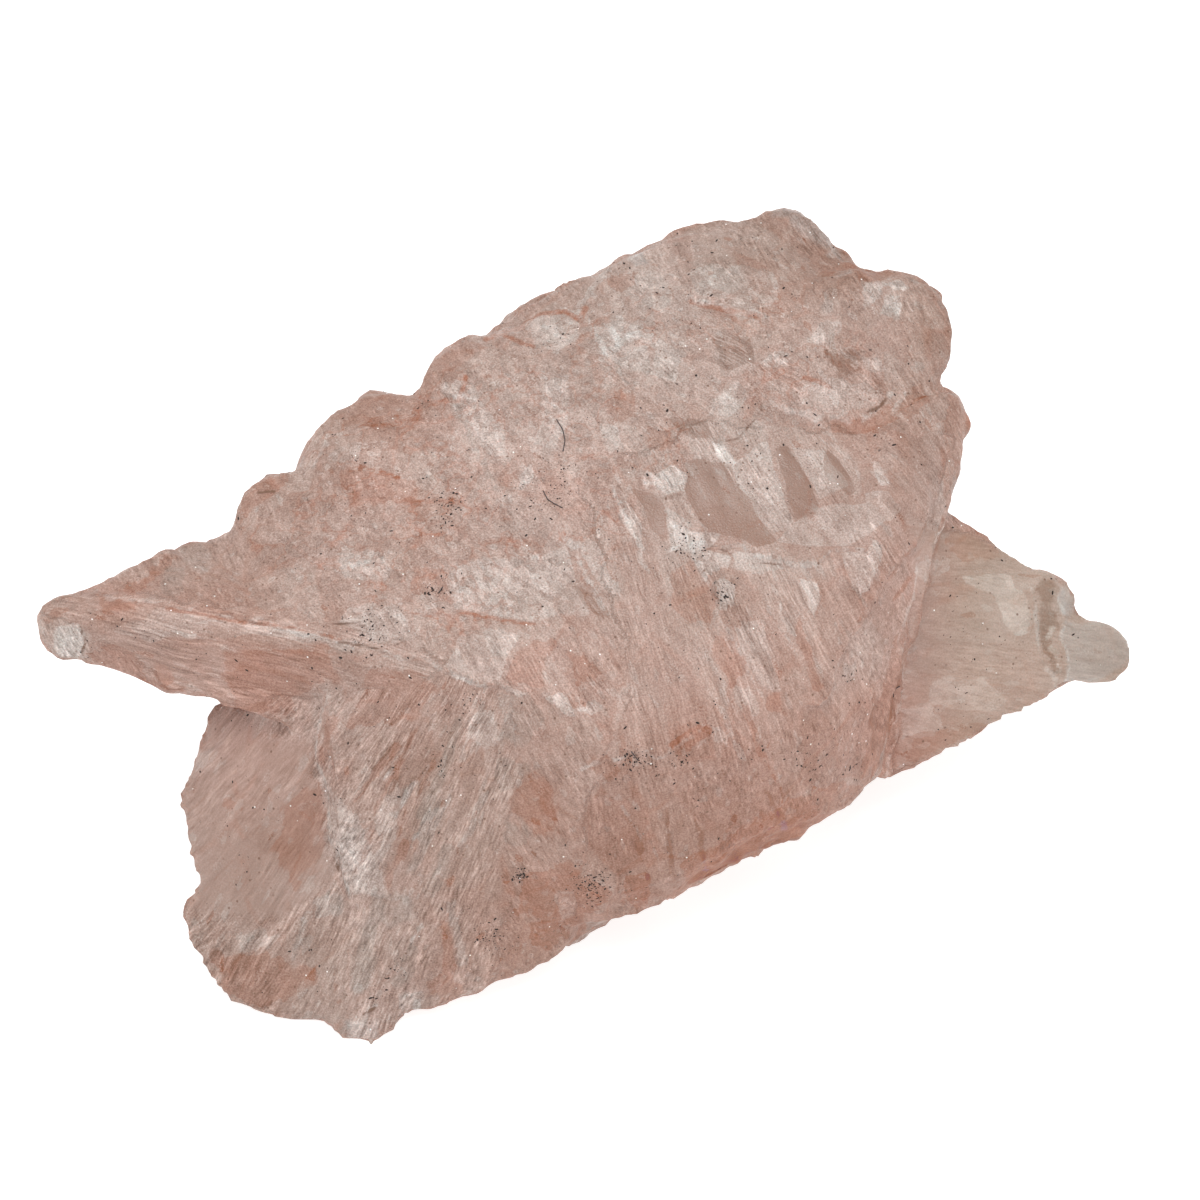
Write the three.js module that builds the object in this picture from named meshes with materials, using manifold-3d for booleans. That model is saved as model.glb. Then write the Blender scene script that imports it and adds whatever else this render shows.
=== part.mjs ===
// A rough hand specimen of morganite: one intergrown mass of pale pink blades, about 50 mm long,
// with a pointed horn on its left, a thin clear wing on its right and a fibrous front.
// It lies on one flat broken face. Millimetres, +Z up, +X to the right, front towards -Y.
//
// Nearly every point is given square to the broad upper face, as face(across, up, out):
// across is +X, up runs up the sloping face, and out stands off it. The face slopes FACE_SLOPE
// from the table, and the face frame's origin is FACE_HEIGHT above the part's origin.

import * as THREE from "three";
import { ConvexGeometry } from "three/addons/geometries/ConvexGeometry.js";
import { ImprovedNoise } from "three/addons/math/ImprovedNoise.js";
import { TessellateModifier } from "three/addons/modifiers/TessellateModifier.js";
import { mergeVertices } from "three/addons/utils/BufferGeometryUtils.js";
import Module from "manifold-3d";

const FACE_SLOPE = 35;
const FACE_HEIGHT = 14.9;
const LONGEST_EDGE = 3.0; // of the finished surface's triangles
const ROUNDED = 2; // how finely a lobe is divided
const ANGULAR = 1;
const MOST_DIVISIONS = 9; // of one triangle while the surface is made finer
const SAME_POINT = 1e-4; // points nearer than this are one
const UNDER_TABLE = -1; // how deep the blades' feet reach before they are cut flat
const TABLE_CUT = { width: 120, depth: 40 };
const WEATHERING = [
  // irregularity of the natural surface: size of the lumps, and how far they stand
  { wavelength: 6.5, depth: 0.42 },
  { wavelength: 2.6, depth: 0.17 },
];
const NOISE_APART = new THREE.Vector3(7.3, 11.9, 5.1); // keeps the three ways of shifting unalike

const wasm = await Module();
wasm.setup();

const slope = THREE.MathUtils.degToRad(FACE_SLOPE);
const faceToPart = new THREE.Matrix4()
  .makeRotationX(slope)
  .setPosition(0, 0, FACE_HEIGHT);

function face(across, up, out) {
  return new THREE.Vector3(across, up, out).applyMatrix4(faceToPart);
}

function table(x, y, height = UNDER_TABLE) {
  return new THREE.Vector3(x, y, height);
}

// ---- solids ----

function solidFrom(geometry) {
  const bare = new THREE.BufferGeometry().setAttribute(
    "position",
    (geometry.index ? geometry.toNonIndexed() : geometry).getAttribute("position"),
  );
  const merged = mergeVertices(bare, SAME_POINT);
  return new wasm.Manifold(
    new wasm.Mesh({
      numProp: 3,
      vertProperties: merged.attributes.position.array,
      triVerts: new Uint32Array(merged.index.array),
    }),
  );
}

function geometryFrom(solid) {
  const { vertProperties, triVerts } = solid.getMesh();
  return new THREE.BufferGeometry()
    .setAttribute("position", new THREE.BufferAttribute(vertProperties, 3))
    .setIndex(new THREE.BufferAttribute(triVerts, 1));
}

// An angular lump: the hull of its corners.
function chunk(...corners) {
  return solidFrom(new ConvexGeometry(corners));
}

// A blunt blade: an ellipsoid with its own half sizes [across, up, out], turned in the face frame,
// rounded or, with fewer facets, angular.
function lobe([across, up, out], halfSizes, { roll = 0, tip = 0, yaw = 0, facets = ROUNDED } = {}) {
  const degrees = THREE.MathUtils.degToRad;
  const turn = new THREE.Euler(degrees(tip), degrees(yaw), degrees(roll));
  const place = new THREE.Matrix4().compose(
    new THREE.Vector3(across, up, out),
    new THREE.Quaternion().setFromEuler(turn),
    new THREE.Vector3(...halfSizes),
  );
  return solidFrom(
    new THREE.IcosahedronGeometry(1, facets).applyMatrix4(place).applyMatrix4(faceToPart),
  );
}

// ---- the front and the upper face, from left to right ----

function horn() {
  return [
    chunk(
      face(-25.7, -0.8, -0.9),
      face(-25.4, -0.1, -1.2),
      face(-25.3, -1.7, -1.2),
      face(-24.6, 0.3, -1.8),
      face(-22.7, 1.0, -2.3),
      face(-20.5, 1.7, -2.8),
      face(-18.4, 3.1, -3.5),
      face(-16.8, 3.8, -3.8),
      face(-15.6, 3.4, -3.8),
      face(-24.4, -0.7, 0.0),
      face(-20.0, -0.7, 1.4),
      face(-15.0, -1.4, 2.4),
      face(-10.0, -2.5, 3.6),
      face(-24.9, -2.1, -1.3),
      face(-23.0, -3.1, -1.7),
      face(-20.9, -3.9, -2.2),
      face(-18.0, -4.7, -2.6),
      face(-13.0, -6.0, -1.0),
      face(-22.0, -1.0, -5.0),
      face(-17.5, -1.0, -8.0),
      face(-12.0, 0.0, -10.0),
    ),
    lobe([-24.2, -1.0, -1.2], [1.6, 1.6, 1.1], { roll: 30 }),
    lobe([-19.8, 0.6, -1.9], [3.4, 1.7, 0.9], { roll: 14, tip: -25 }),
  ];
}

function leftSlab() {
  return [
    chunk(
      face(-14.6, -1.4, 2.2),
      face(-9.0, -2.6, 3.9),
      face(-3.5, -4.0, 4.8),
      face(-15.6, 1.5, -0.2),
      face(-13.9, 6.4, -4.4),
      face(-12.9, 7.9, -5.5),
      face(-10.9, 9.7, -6.5),
      face(-8.4, 9.7, -6.2),
      face(-4.0, 8.6, -3.6),
      face(-10.5, 7.6, -3.2),
      face(-2.6, 2.0, 0.2),
      face(-13.0, 6.5, -8.5),
      face(-9.0, 8.4, -11.0),
      face(-14.5, 2.0, -8.5),
      table(-13.0, -2.0),
      table(-8.0, 9.0),
      table(0.0, 10.0),
      table(-1.0, -4.0),
    ),
    lobe([-14.8, 4.1, -3.3], [2.4, 2.4, 1.1], { roll: -30, tip: -30, facets: ANGULAR }),
    lobe([-14.4, 2.6, -2.4], [2.6, 3.0, 1.0], { roll: -40, tip: -30 }),
    lobe([-10.5, 6.8, -4.7], [2.8, 3.0, 0.9], { roll: 20, tip: -34 }),
  ];
}

function rightSlab() {
  return [
    chunk(
      face(-4.4, -3.9, 4.7),
      face(1.0, -6.4, 4.2),
      face(5.0, -6.6, 3.4),
      face(10.0, -4.4, 1.5),
      face(13.4, 1.5, -0.6),
      face(-7.6, 0.6, 2.0),
      face(-8.0, 5.0, -0.9),
      face(-7.6, 10.7, -6.2),
      face(-6.3, 11.7, -7.0),
      face(-4.4, 13.0, -7.8),
      face(-2.3, 14.6, -8.6),
      face(0.0, 15.8, -9.3),
      face(1.9, 16.8, -10.0),
      face(4.6, 17.7, -10.6),
      face(7.4, 18.0, -10.8),
      face(9.7, 17.0, -10.6),
      face(11.6, 15.2, -9.8),
      face(14.0, 12.5, -8.0),
      face(15.4, 9.0, -5.6),
      face(15.2, 4.0, -3.0),
      face(3.0, 14.2, -6.6),
      face(9.0, 13.8, -6.6),
      face(-3.5, 10.4, -4.6),
      face(14.5, 11.0, -14.0),
      face(6.0, 15.5, -17.0),
      face(-3.0, 12.0, -15.5),
      table(12.0, 10.0),
      table(3.0, 13.5),
      table(-5.0, 11.0),
      table(12.0, 3.0),
      table(3.0, -2.0),
    ),
    lobe([-4.9, 10.0, -5.9], [3.6, 3.0, 1.2], { roll: 32, tip: -34 }),
    lobe([4.4, 12.6, -6.9], [6.4, 5.4, 1.2], { roll: 18, tip: -34 }),
    lobe([-1.2, 5.6, -1.9], [5.0, 4.0, 1.0], { roll: 35, tip: -34 }),
  ];
}

function topKnobs() {
  return [
    lobe([8.9, 17.0, -11.2], [2.0, 1.3, 1.2], { roll: -28, tip: -20 }),
    lobe([11.0, 15.9, -11.0], [0.9, 0.7, 1.0], { roll: -40 }),
    lobe([13.5, 12.4, -8.0], [2.9, 3.5, 1.6], { roll: -20, tip: -30 }),
    lobe([12.4, 14.4, -9.4], [1.8, 1.2, 1.3], { tip: -20 }),
    lobe([11.4, 13.2, -9.6], [3.0, 2.6, 3.4], { roll: 10, facets: ANGULAR }),
  ];
}

function shoulder() {
  return [
    chunk(
      face(12.0, 1.5, 0.2),
      face(13.6, 8.4, -3.4),
      face(15.2, 9.9, -5.0),
      face(16.4, 9.6, -6.0),
      face(17.0, 8.6, -6.4),
      face(16.6, 7.2, -6.0),
      face(15.6, 4.8, -5.0),
      face(15.6, 2.6, -4.2),
      face(14.6, -1.5, -3.4),
      face(13.4, -6.0, -4.4),
      face(12.8, -8.2, -5.4),
      face(10.0, -4.0, 1.2),
      face(16.4, 8.0, -11.0),
      face(15.0, 0.0, -9.5),
      face(8.0, 6.0, -6.0),
      table(13.0, 6.0, 1.0),
      table(12.8, 1.0, 0.4),
      table(9.5, -1.5, 1.0),
    ),
    lobe([15.7, 9.1, -6.6], [0.9, 1.0, 1.4], { roll: -30, facets: ANGULAR }),
  ];
}

function frontSheaf() {
  return [
    chunk(
      face(-12.2, -4.6, 1.9),
      face(-12.4, -2.6, 2.7),
      face(-13.2, -4.4, -1.2),
      face(-10.6, -2.6, 3.3),
      face(-8.4, -2.8, 3.8),
      face(-4.0, -4.1, 4.7),
      face(1.0, -6.8, 4.4),
      face(-11.6, -9.6, -0.2),
      face(-11.0, -15.0, -2.2),
      face(-10.2, -19.4, -3.8),
      face(-7.7, -18.9, -4.0),
      face(-5.9, -18.3, -4.2),
      face(-3.6, -17.4, -4.4),
      face(-1.9, -16.7, -4.6),
      face(-1.0, -15.2, -4.0),
      face(0.6, -9.0, 2.4),
      face(-5.0, -12.0, 0.9),
      face(-5.4, -15.8, -1.6),
      face(-2.4, -14.4, -0.9),
      face(-8.2, -17.2, -2.3),
      table(-11.5, -12.6),
      table(-3.0, -8.6),
      table(5.0, -3.0),
      table(5.0, 2.0),
      table(-13.0, -2.0),
    ),
    chunk(
      face(-3.0, -4.8, 4.5),
      face(1.2, -7.4, 3.9),
      face(5.2, -7.2, 3.2),
      face(9.6, -5.6, 1.3),
      face(12.8, -4.0, -1.4),
      face(2.2, -11.2, 1.1),
      face(6.4, -9.6, 0.9),
      face(10.4, -8.2, -1.0),
      face(12.7, -8.5, -5.0),
      face(11.5, -9.8, -4.6),
      face(9.2, -10.6, -3.8),
      face(6.9, -11.8, -3.2),
      face(4.6, -13.0, -2.8),
      face(2.3, -14.1, -2.8),
      face(0.5, -14.7, -3.0),
      face(-1.2, -15.0, -3.4),
      face(-2.0, -9.4, 2.4),
      face(-1.2, -13.4, -0.3),
      face(4.2, -12.2, -0.4),
      face(9.0, -9.9, -1.4),
      table(-2.0, -8.0),
      table(9.0, -0.6),
      table(12.0, 4.0),
    ),
  ];
}

function lowerLeftBlade() {
  return [
    chunk(
      face(-17.6, -4.9, -5.4),
      face(-18.8, -7.3, -5.4),
      face(-19.7, -9.4, -5.4),
      face(-19.3, -11.3, -5.2),
      face(-18.8, -12.7, -5.0),
      face(-14.8, -5.0, -2.6),
      face(-10.0, -5.0, 0.8),
      face(-15.8, -9.0, -2.8),
      face(-10.5, -13.0, -2.4),
      face(-14.5, -3.0, -9.0),
      table(-16.5, -6.0, 1.2),
      table(-12.0, -10.0),
      table(-14.0, 1.0),
    ),
    chunk(
      face(-18.4, -12.4, -5.2),
      face(-19.4, -14.3, -5.0),
      face(-19.0, -15.6, -4.9),
      face(-18.2, -17.0, -4.8),
      face(-17.0, -18.5, -4.6),
      face(-14.8, -19.4, -4.4),
      face(-12.2, -19.8, -4.2),
      face(-10.0, -17.0, -3.2),
      face(-10.5, -11.5, -2.2),
      face(-15.5, -13.0, -3.0),
      table(-17.6, -8.6),
      table(-14.0, -12.2),
      table(-10.0, -12.0),
      table(-12.0, -4.0),
    ),
  ];
}

function foot() {
  return chunk(
    face(-12.6, -19.6, -3.9),
    face(-11.9, -20.7, -3.7),
    face(-10.3, -20.8, -3.7),
    face(-9.1, -19.9, -3.8),
    face(-8.6, -17.6, -3.6),
    face(-12.0, -16.0, -2.4),
    face(-10.6, -17.0, -2.6),
    table(-11.0, -10.0),
    table(-11.4, -13.6),
    table(-9.8, -13.4),
  );
}

function wing() {
  return [
    chunk(
      face(13.0, 4.0, -5.4),
      face(16.2, 4.0, -6.6),
      face(17.4, 2.6, -7.2),
      face(18.3, 1.6, -7.5),
      face(19.6, 1.2, -7.9),
      face(20.6, 1.3, -8.3),
      face(21.2, 0.5, -8.6),
      face(21.3, -1.2, -8.5),
      face(21.2, -4.5, -8.8),
      face(18.4, -6.0, -8.6),
      face(15.8, -7.3, -8.3),
      face(12.8, -8.4, -8.0),
      face(12.5, -3.0, -4.6),
      face(17.0, -1.0, -6.0),
      face(20.6, -1.0, -7.6),
      face(13.0, 3.6, -11.5),
      face(19.8, 0.6, -11.2),
      face(20.4, -3.2, -11.2),
      face(13.0, -6.0, -12.4),
      table(12.0, 4.0, 0.6),
    ),
    lobe([20.4, 0.5, -8.7], [1.3, 1.1, 1.4]),
  ];
}

function wingTip() {
  return [
    lobe([22.6, -2.2, -9.4], [2.4, 1.65, 1.1], { roll: -8, yaw: 12 }),
    lobe([21.2, -2.6, -9.3], [2.2, 1.5, 1.5], { roll: 24, facets: ANGULAR }),
    lobe([21.4, 0.1, -9.2], [0.8, 0.9, 0.9]),
  ];
}

// ---- the far side, which stands on the table and is undercut like the front ----

function backBlades() {
  return [
    lobe([5.0, 12.0, -16.0], [8.5, 4.6, 3.0], { tip: 50, roll: 6, facets: ANGULAR }),
    lobe([-1.5, 11.5, -12.5], [5.6, 3.4, 2.4], { tip: 24, roll: 34, facets: ANGULAR }),
    lobe([-6.0, 6.0, -13.5], [6.4, 4.6, 3.4], { tip: 38, roll: 24, facets: ANGULAR }),
    lobe([-12.0, 0.5, -9.5], [4.6, 5.0, 3.2], { tip: 30, yaw: -30, facets: ANGULAR }),
    lobe([-11.0, 6.0, -9.0], [3.2, 2.4, 3.6], { tip: 20, roll: 12, facets: ANGULAR }),
    lobe([13.0, 5.0, -13.0], [3.4, 5.2, 2.8], { tip: 40, yaw: 34, facets: ANGULAR }),
    lobe([14.0, -1.0, -10.5], [2.8, 5.0, 3.0], { tip: 20, yaw: 20, facets: ANGULAR }),
    chunk(
      face(10.0, 15.0, -13.0),
      face(1.0, 15.0, -12.0),
      table(9.5, 18.6, 9.0),
      table(2.0, 19.4, 8.0),
      table(5.0, 16.0, 1.5),
      table(8.0, 10.0, 2.0),
      table(-1.0, 12.0, 4.0),
    ),
  ];
}

// ---- one solid ----

function joined(solids) {
  return solids.flat().reduce((whole, piece) => whole.add(piece));
}

function weathered(solid) {
  const fine = new TessellateModifier(LONGEST_EDGE, MOST_DIVISIONS).modify(
    geometryFrom(solid).toNonIndexed(),
  );
  const bare = new THREE.BufferGeometry().setAttribute(
    "position",
    fine.getAttribute("position"),
  );
  const surface = mergeVertices(bare, SAME_POINT);
  const noise = new ImprovedNoise();
  const point = new THREE.Vector3();
  const shift = new THREE.Vector3();
  const position = surface.getAttribute("position");
  for (let i = 0; i < position.count; i++) {
    point.fromBufferAttribute(position, i);
    shift.set(0, 0, 0);
    for (const { wavelength, depth } of WEATHERING) {
      const at = point.clone().divideScalar(wavelength);
      shift.x += depth * noise.noise(at.x + NOISE_APART.x, at.y, at.z);
      shift.y += depth * noise.noise(at.x, at.y + NOISE_APART.y, at.z);
      shift.z += depth * noise.noise(at.x, at.y, at.z + NOISE_APART.z);
    }
    point.add(shift);
    position.setXYZ(i, point.x, point.y, point.z);
  }
  return solidFrom(surface);
}

function cutFlatAtTable(solid) {
  const { width, depth } = TABLE_CUT;
  const below = new THREE.BoxGeometry(width, width, depth).translate(0, 0, -depth / 2);
  return solid.subtract(solidFrom(below));
}

const stone = cutFlatAtTable(
  weathered(
    joined([
      horn(),
      leftSlab(),
      rightSlab(),
      topKnobs(),
      shoulder(),
      frontSheaf(),
      lowerLeftBlade(),
      foot(),
      wing(),
      wingTip(),
      backBlades(),
    ]),
  ),
);

const pinkCrystal = new THREE.MeshStandardMaterial({
  color: 0xd3b6a9,
  roughness: 0.45,
  metalness: 0,
});

const morganite = new THREE.Mesh(geometryFrom(stone), pinkCrystal);
morganite.name = "morganite";

const specimen = new THREE.Group();
specimen.add(morganite);

export default specimen;
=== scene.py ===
"""A rough hand specimen of morganite: an intergrown mass of pale pink, cloudy crystal blades.

Metres, +Z up, front towards -Y. The stone's broad upper face slopes down towards the front. Places
on it are in the stone's own millimetres, from the middle of that face: across is +X, up runs up
the face, and out stands off it.
"""

import math
from types import SimpleNamespace

import bmesh
import bpy
import numpy as np
from mathutils import Matrix, Vector
from mathutils.bvhtree import BVHTree


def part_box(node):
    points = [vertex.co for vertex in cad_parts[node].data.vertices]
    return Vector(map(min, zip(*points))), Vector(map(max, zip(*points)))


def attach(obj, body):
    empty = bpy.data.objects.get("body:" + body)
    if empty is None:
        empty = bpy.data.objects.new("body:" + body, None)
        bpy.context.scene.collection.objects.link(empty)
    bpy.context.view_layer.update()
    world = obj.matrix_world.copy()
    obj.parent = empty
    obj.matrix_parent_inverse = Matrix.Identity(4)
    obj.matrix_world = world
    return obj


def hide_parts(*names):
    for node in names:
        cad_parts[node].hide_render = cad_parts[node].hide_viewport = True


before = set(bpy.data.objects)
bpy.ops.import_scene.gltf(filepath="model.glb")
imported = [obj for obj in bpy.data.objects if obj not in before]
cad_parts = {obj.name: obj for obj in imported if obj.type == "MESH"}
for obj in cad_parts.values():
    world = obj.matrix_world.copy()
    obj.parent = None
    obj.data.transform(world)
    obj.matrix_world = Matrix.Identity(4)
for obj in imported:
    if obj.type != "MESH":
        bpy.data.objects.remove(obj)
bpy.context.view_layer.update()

# ---- the stone's own measure, from its solid ----

LOW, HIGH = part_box("morganite")
LENGTH = 50.8
MM = (HIGH.x - LOW.x) / LENGTH
HEIGHT = (HIGH.z - LOW.z) / MM
FACE_HEIGHT = 0.837 * HEIGHT
FACE_SLOPE = math.radians(35.0)
RISE, RUN = math.sin(FACE_SLOPE), math.cos(FACE_SLOPE)

LENS, SENSOR = 200.0, 36.0
VIEW_WIDTH = 1.075 * LENGTH
VIEW_DISTANCE = VIEW_WIDTH * LENS / SENSOR

SKIN_CELL = 0.34  # size of the skin's faces behind; in front they are half of it
SOFTENING = 3  # rounds of smoothing that take the solid's facets away
EASING = 24  # rounds more that ease the folds of the upper face
PACE = 0.5  # how far a round takes each place towards the middle of its neighbours
BASE_BAND = 0.9  # height over which the relief grows from the flat base

# ---- what shows on the upper face and the front ----

# Slender splinters and streaks, each a tapering lens: across, up and half width at one end, then
# at the other.
SPLINTERS = {
    "frost": {
        "long splinter": [(8.0, 0.4, 0.06, 8.3, -1.0, 0.04), (8.3, -1.0, 0.05, 9.0, -2.7, 0.03)],
        "beside the wedge": [(10.2, 0.3, 0.07, 10.9, -1.9, 0.03), (11.5, 0.9, 0.08, 12.1, -0.4, 0.04)],
        "upper corner": [
            (-0.5, 12.7, 0.06, 0.1, 11.5, 0.06),
            (0.1, 11.5, 0.08, 0.4, 11.0, 0.05),
            (0.5, 12.3, 0.12, 0.8, 11.6, 0.16),
            (1.2, 11.9, 0.10, 1.6, 12.0, 0.12),
        ],
        "left corner": [(-15.7, 4.2, 0.07, -16.2, 3.2, 0.05), (-12.3, 7.9, 0.04, -13.0, 6.1, 0.07)],
        "granular whites": [(-11.0, 1.7, 0.12, -10.6, 1.8, 0.1), (-9.9, 1.8, 0.14, -9.6, 1.9, 0.1)],
        "horn": [(-18.9, -0.7, 0.06, -17.4, -0.9, 0.05), (-19.6, -1.3, 0.06, -18.4, -1.7, 0.09)],
        "sheaf": [(-9.2, -10.1, 0.05, -8.4, -8.3, 0.06), (-10.0, -8.1, 0.04, -9.4, -7.7, 0.05)],
        "low sheaf": [(-8.6, -11.3, 0.05, -8.3, -10.6, 0.05), (-8.6, -15.4, 0.07, -8.1, -14.8, 0.04)],
        "foot": [(-8.6, -18.0, 0.05, -8.4, -18.5, 0.08), (-10.3, -18.5, 0.08, -10.0, -18.6, 0.08)],
        "low front": [(-5.5, -16.1, 0.06, -5.2, -16.6, 0.04), (0.9, -9.3, 0.05, 1.5, -10.1, 0.04)],
        "low right": [(1.2, -9.0, 0.04, 2.0, -9.9, 0.04), (1.3, -10.0, 0.04, 1.8, -11.0, 0.03)],
        "ridge": [(20.6, -1.3, 0.08, 20.5, -1.7, 0.06), (20.6, -2.1, 0.05, 20.9, -3.5, 0.05)],
        "plate streaks": [(4.0, 5.9, 0.05, 4.4, 5.2, 0.03), (4.3, 5.2, 0.03, 4.8, 4.6, 0.05)],
    },
    "cream": {
        "rim band": [(-0.9, 13.4, 0.12, 0.2, 14.9, 0.2)],
        "plate edge": [(3.0, 4.1, 0.1, 4.1, 3.3, 0.16), (3.8, 4.4, 0.06, 4.9, 3.1, 0.08)],
        "right slab": [(13.2, 8.5, 0.08, 13.9, 9.4, 0.12)],
        "right sheaf": [(5.1, -2.8, 0.06, 5.8, -4.6, 0.12), (5.5, -5.0, 0.06, 6.4, -7.2, 0.08)],
        "low right": [(7.2, -6.2, 0.06, 8.2, -8.0, 0.08), (2.0, -10.2, 0.05, 2.7, -12.2, 0.08)],
        "low horn": [(-17.6, -3.1, 0.08, -16.4, -3.2, 0.12), (-17.2, -2.1, 0.08, -16.2, -2.4, 0.04)],
        "horn": [(-15.9, -1.3, 0.3, -12.6, -1.8, 0.12), (-12.6, -1.8, 0.12, -9.5, -2.7, 0.06)],
        "left of the sheaf": [(-13.5, -7.2, 0.14, -14.2, -9.0, 0.10), (-12.8, -7.0, 0.12, -12.5, -9.4, 0.16)],
        "sheaf": [(-5.4, -8.9, 0.25, -6.3, -10.9, 0.18), (-7.7, -9.4, 0.1, -8.6, -12.4, 0.12)],
        "left sheaf": [(-10.5, -7.6, 0.05, -11.6, -9.9, 0.12), (-9.0, -9.2, 0.05, -10.1, -11.6, 0.12)],
        "left sheaf, long": [(-6.7, -8.4, 0.06, -8.5, -12.2, 0.16), (-5.3, -4.4, 0.05, -6.3, -7.2, 0.14)],
        "left sheaf, right": [(-5.0, -7.2, 0.06, -5.9, -10.6, 0.16), (-12.3, -4.3, 0.12, -13.1, -6.2, 0.06)],
        "fan's edge": [(-12.9, -6.4, 0.06, -12.3, -9.4, 0.14), (-12.2, -9.6, 0.14, -11.4, -13.5, 0.12)],
        "low sheaf": [(-6.8, -13.8, 0.1, -6.3, -16.4, 0.2), (-13.4, -14.4, 0.1, -13.9, -16.2, 0.1)],
    },
    "clear": {
        "wing nub": [(20.3, 0.6, 0.4, 20.5, -1.2, 0.3), (20.3, -1.4, 0.2, 20.8, -3.4, 0.1)],
        "right bands": [(7.3, -8.2, 0.12, 8.4, -10.4, 0.15), (3.0, -9.4, 0.1, 3.4, -13.0, 0.16)],
        "dark fibres": [(1.6, -10.6, 0.08, 2.1, -12.6, 0.1), (4.3, -9.9, 0.08, 4.9, -12.2, 0.1)],
    },
    "grey": {
        "left band": [(-6.7, 9.0, 0.2, -4.6, 4.9, 0.15)],
        "sheaf bands": [(-6.4, -5.6, 0.2, -7.9, -9.6, 0.35), (-6.9, -11.4, 0.35, -7.6, -13.2, 0.35)],
        "low sheaf": [(-10.4, -14.8, 0.35, -11.0, -17.6, 0.4), (-8.4, -16.0, 0.3, -9.2, -17.4, 0.3)],
    },
    "rose": {
        "beside the wedge": [(9.1, -0.9, 0.08, 9.2, -1.9, 0.12), (9.3, -2.1, 0.12, 9.9, -3.9, 0.16)],
        "long streak": [(6.7, -4.9, 0.14, 7.3, -7.0, 0.18), (7.4, -7.0, 0.16, 8.2, -8.6, 0.06)],
        "sheaf": [(-12.0, -5.4, 0.25, -12.4, -6.6, 0.15), (-9.2, -6.6, 0.16, -11.4, -9.4, 0.1)],
        "low sheaf": [(-9.0, -11.2, 0.2, -9.6, -13.0, 0.15), (-7.0, -14.8, 0.12, -6.8, -17.4, 0.2)],
        "left sheaf": [(-11.4, -4.7, 0.06, -12.6, -7.2, 0.16), (-8.3, -5.8, 0.06, -10.2, -9.8, 0.16)],
        "left sheaf, low": [(-7.6, -7.4, 0.05, -9.2, -10.8, 0.10), (-10.1, -9.4, 0.04, -11.0, -12.4, 0.09)],
        "strips": [(-8.0, 3.0, 0.1, -7.0, 3.1, 0.12), (-5.3, 2.7, 0.18, -3.3, 2.7, 0.12)],
        "horn": [(-20.2, -3.2, 0.2, -19.6, -3.5, 0.3), (-21.4, 0.4, 0.3, -19.6, 1.7, 0.2)],
        "low blade": [(-12.2, -16.9, 0.1, -11.9, -18.2, 0.1), (-15.0, -17.6, 0.1, -14.9, -18.4, 0.12)],
    },
    "stain": {
        "upper left": [(-11.6, 8.1, 0.12, -8.5, 8.3, 0.16), (-11.5, 6.0, 0.06, -9.0, 5.5, 0.06)],
        "spots": [(-12.4, 2.7, 0.14, -12.2, 2.5, 0.12), (-5.6, 7.0, 0.12, -5.2, 6.8, 0.1)],
        "horn tip": [(-25.1, -0.8, 0.2, -24.3, -0.4, 0.2), (-16.6, -4.8, 0.12, -15.3, -4.9, 0.1)],
        "centre": [(1.0, 6.2, 0.15, 1.5, 6.0, 0.12), (-1.9, 6.5, 0.06, -1.0, 6.5, 0.05)],
    },
}

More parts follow.
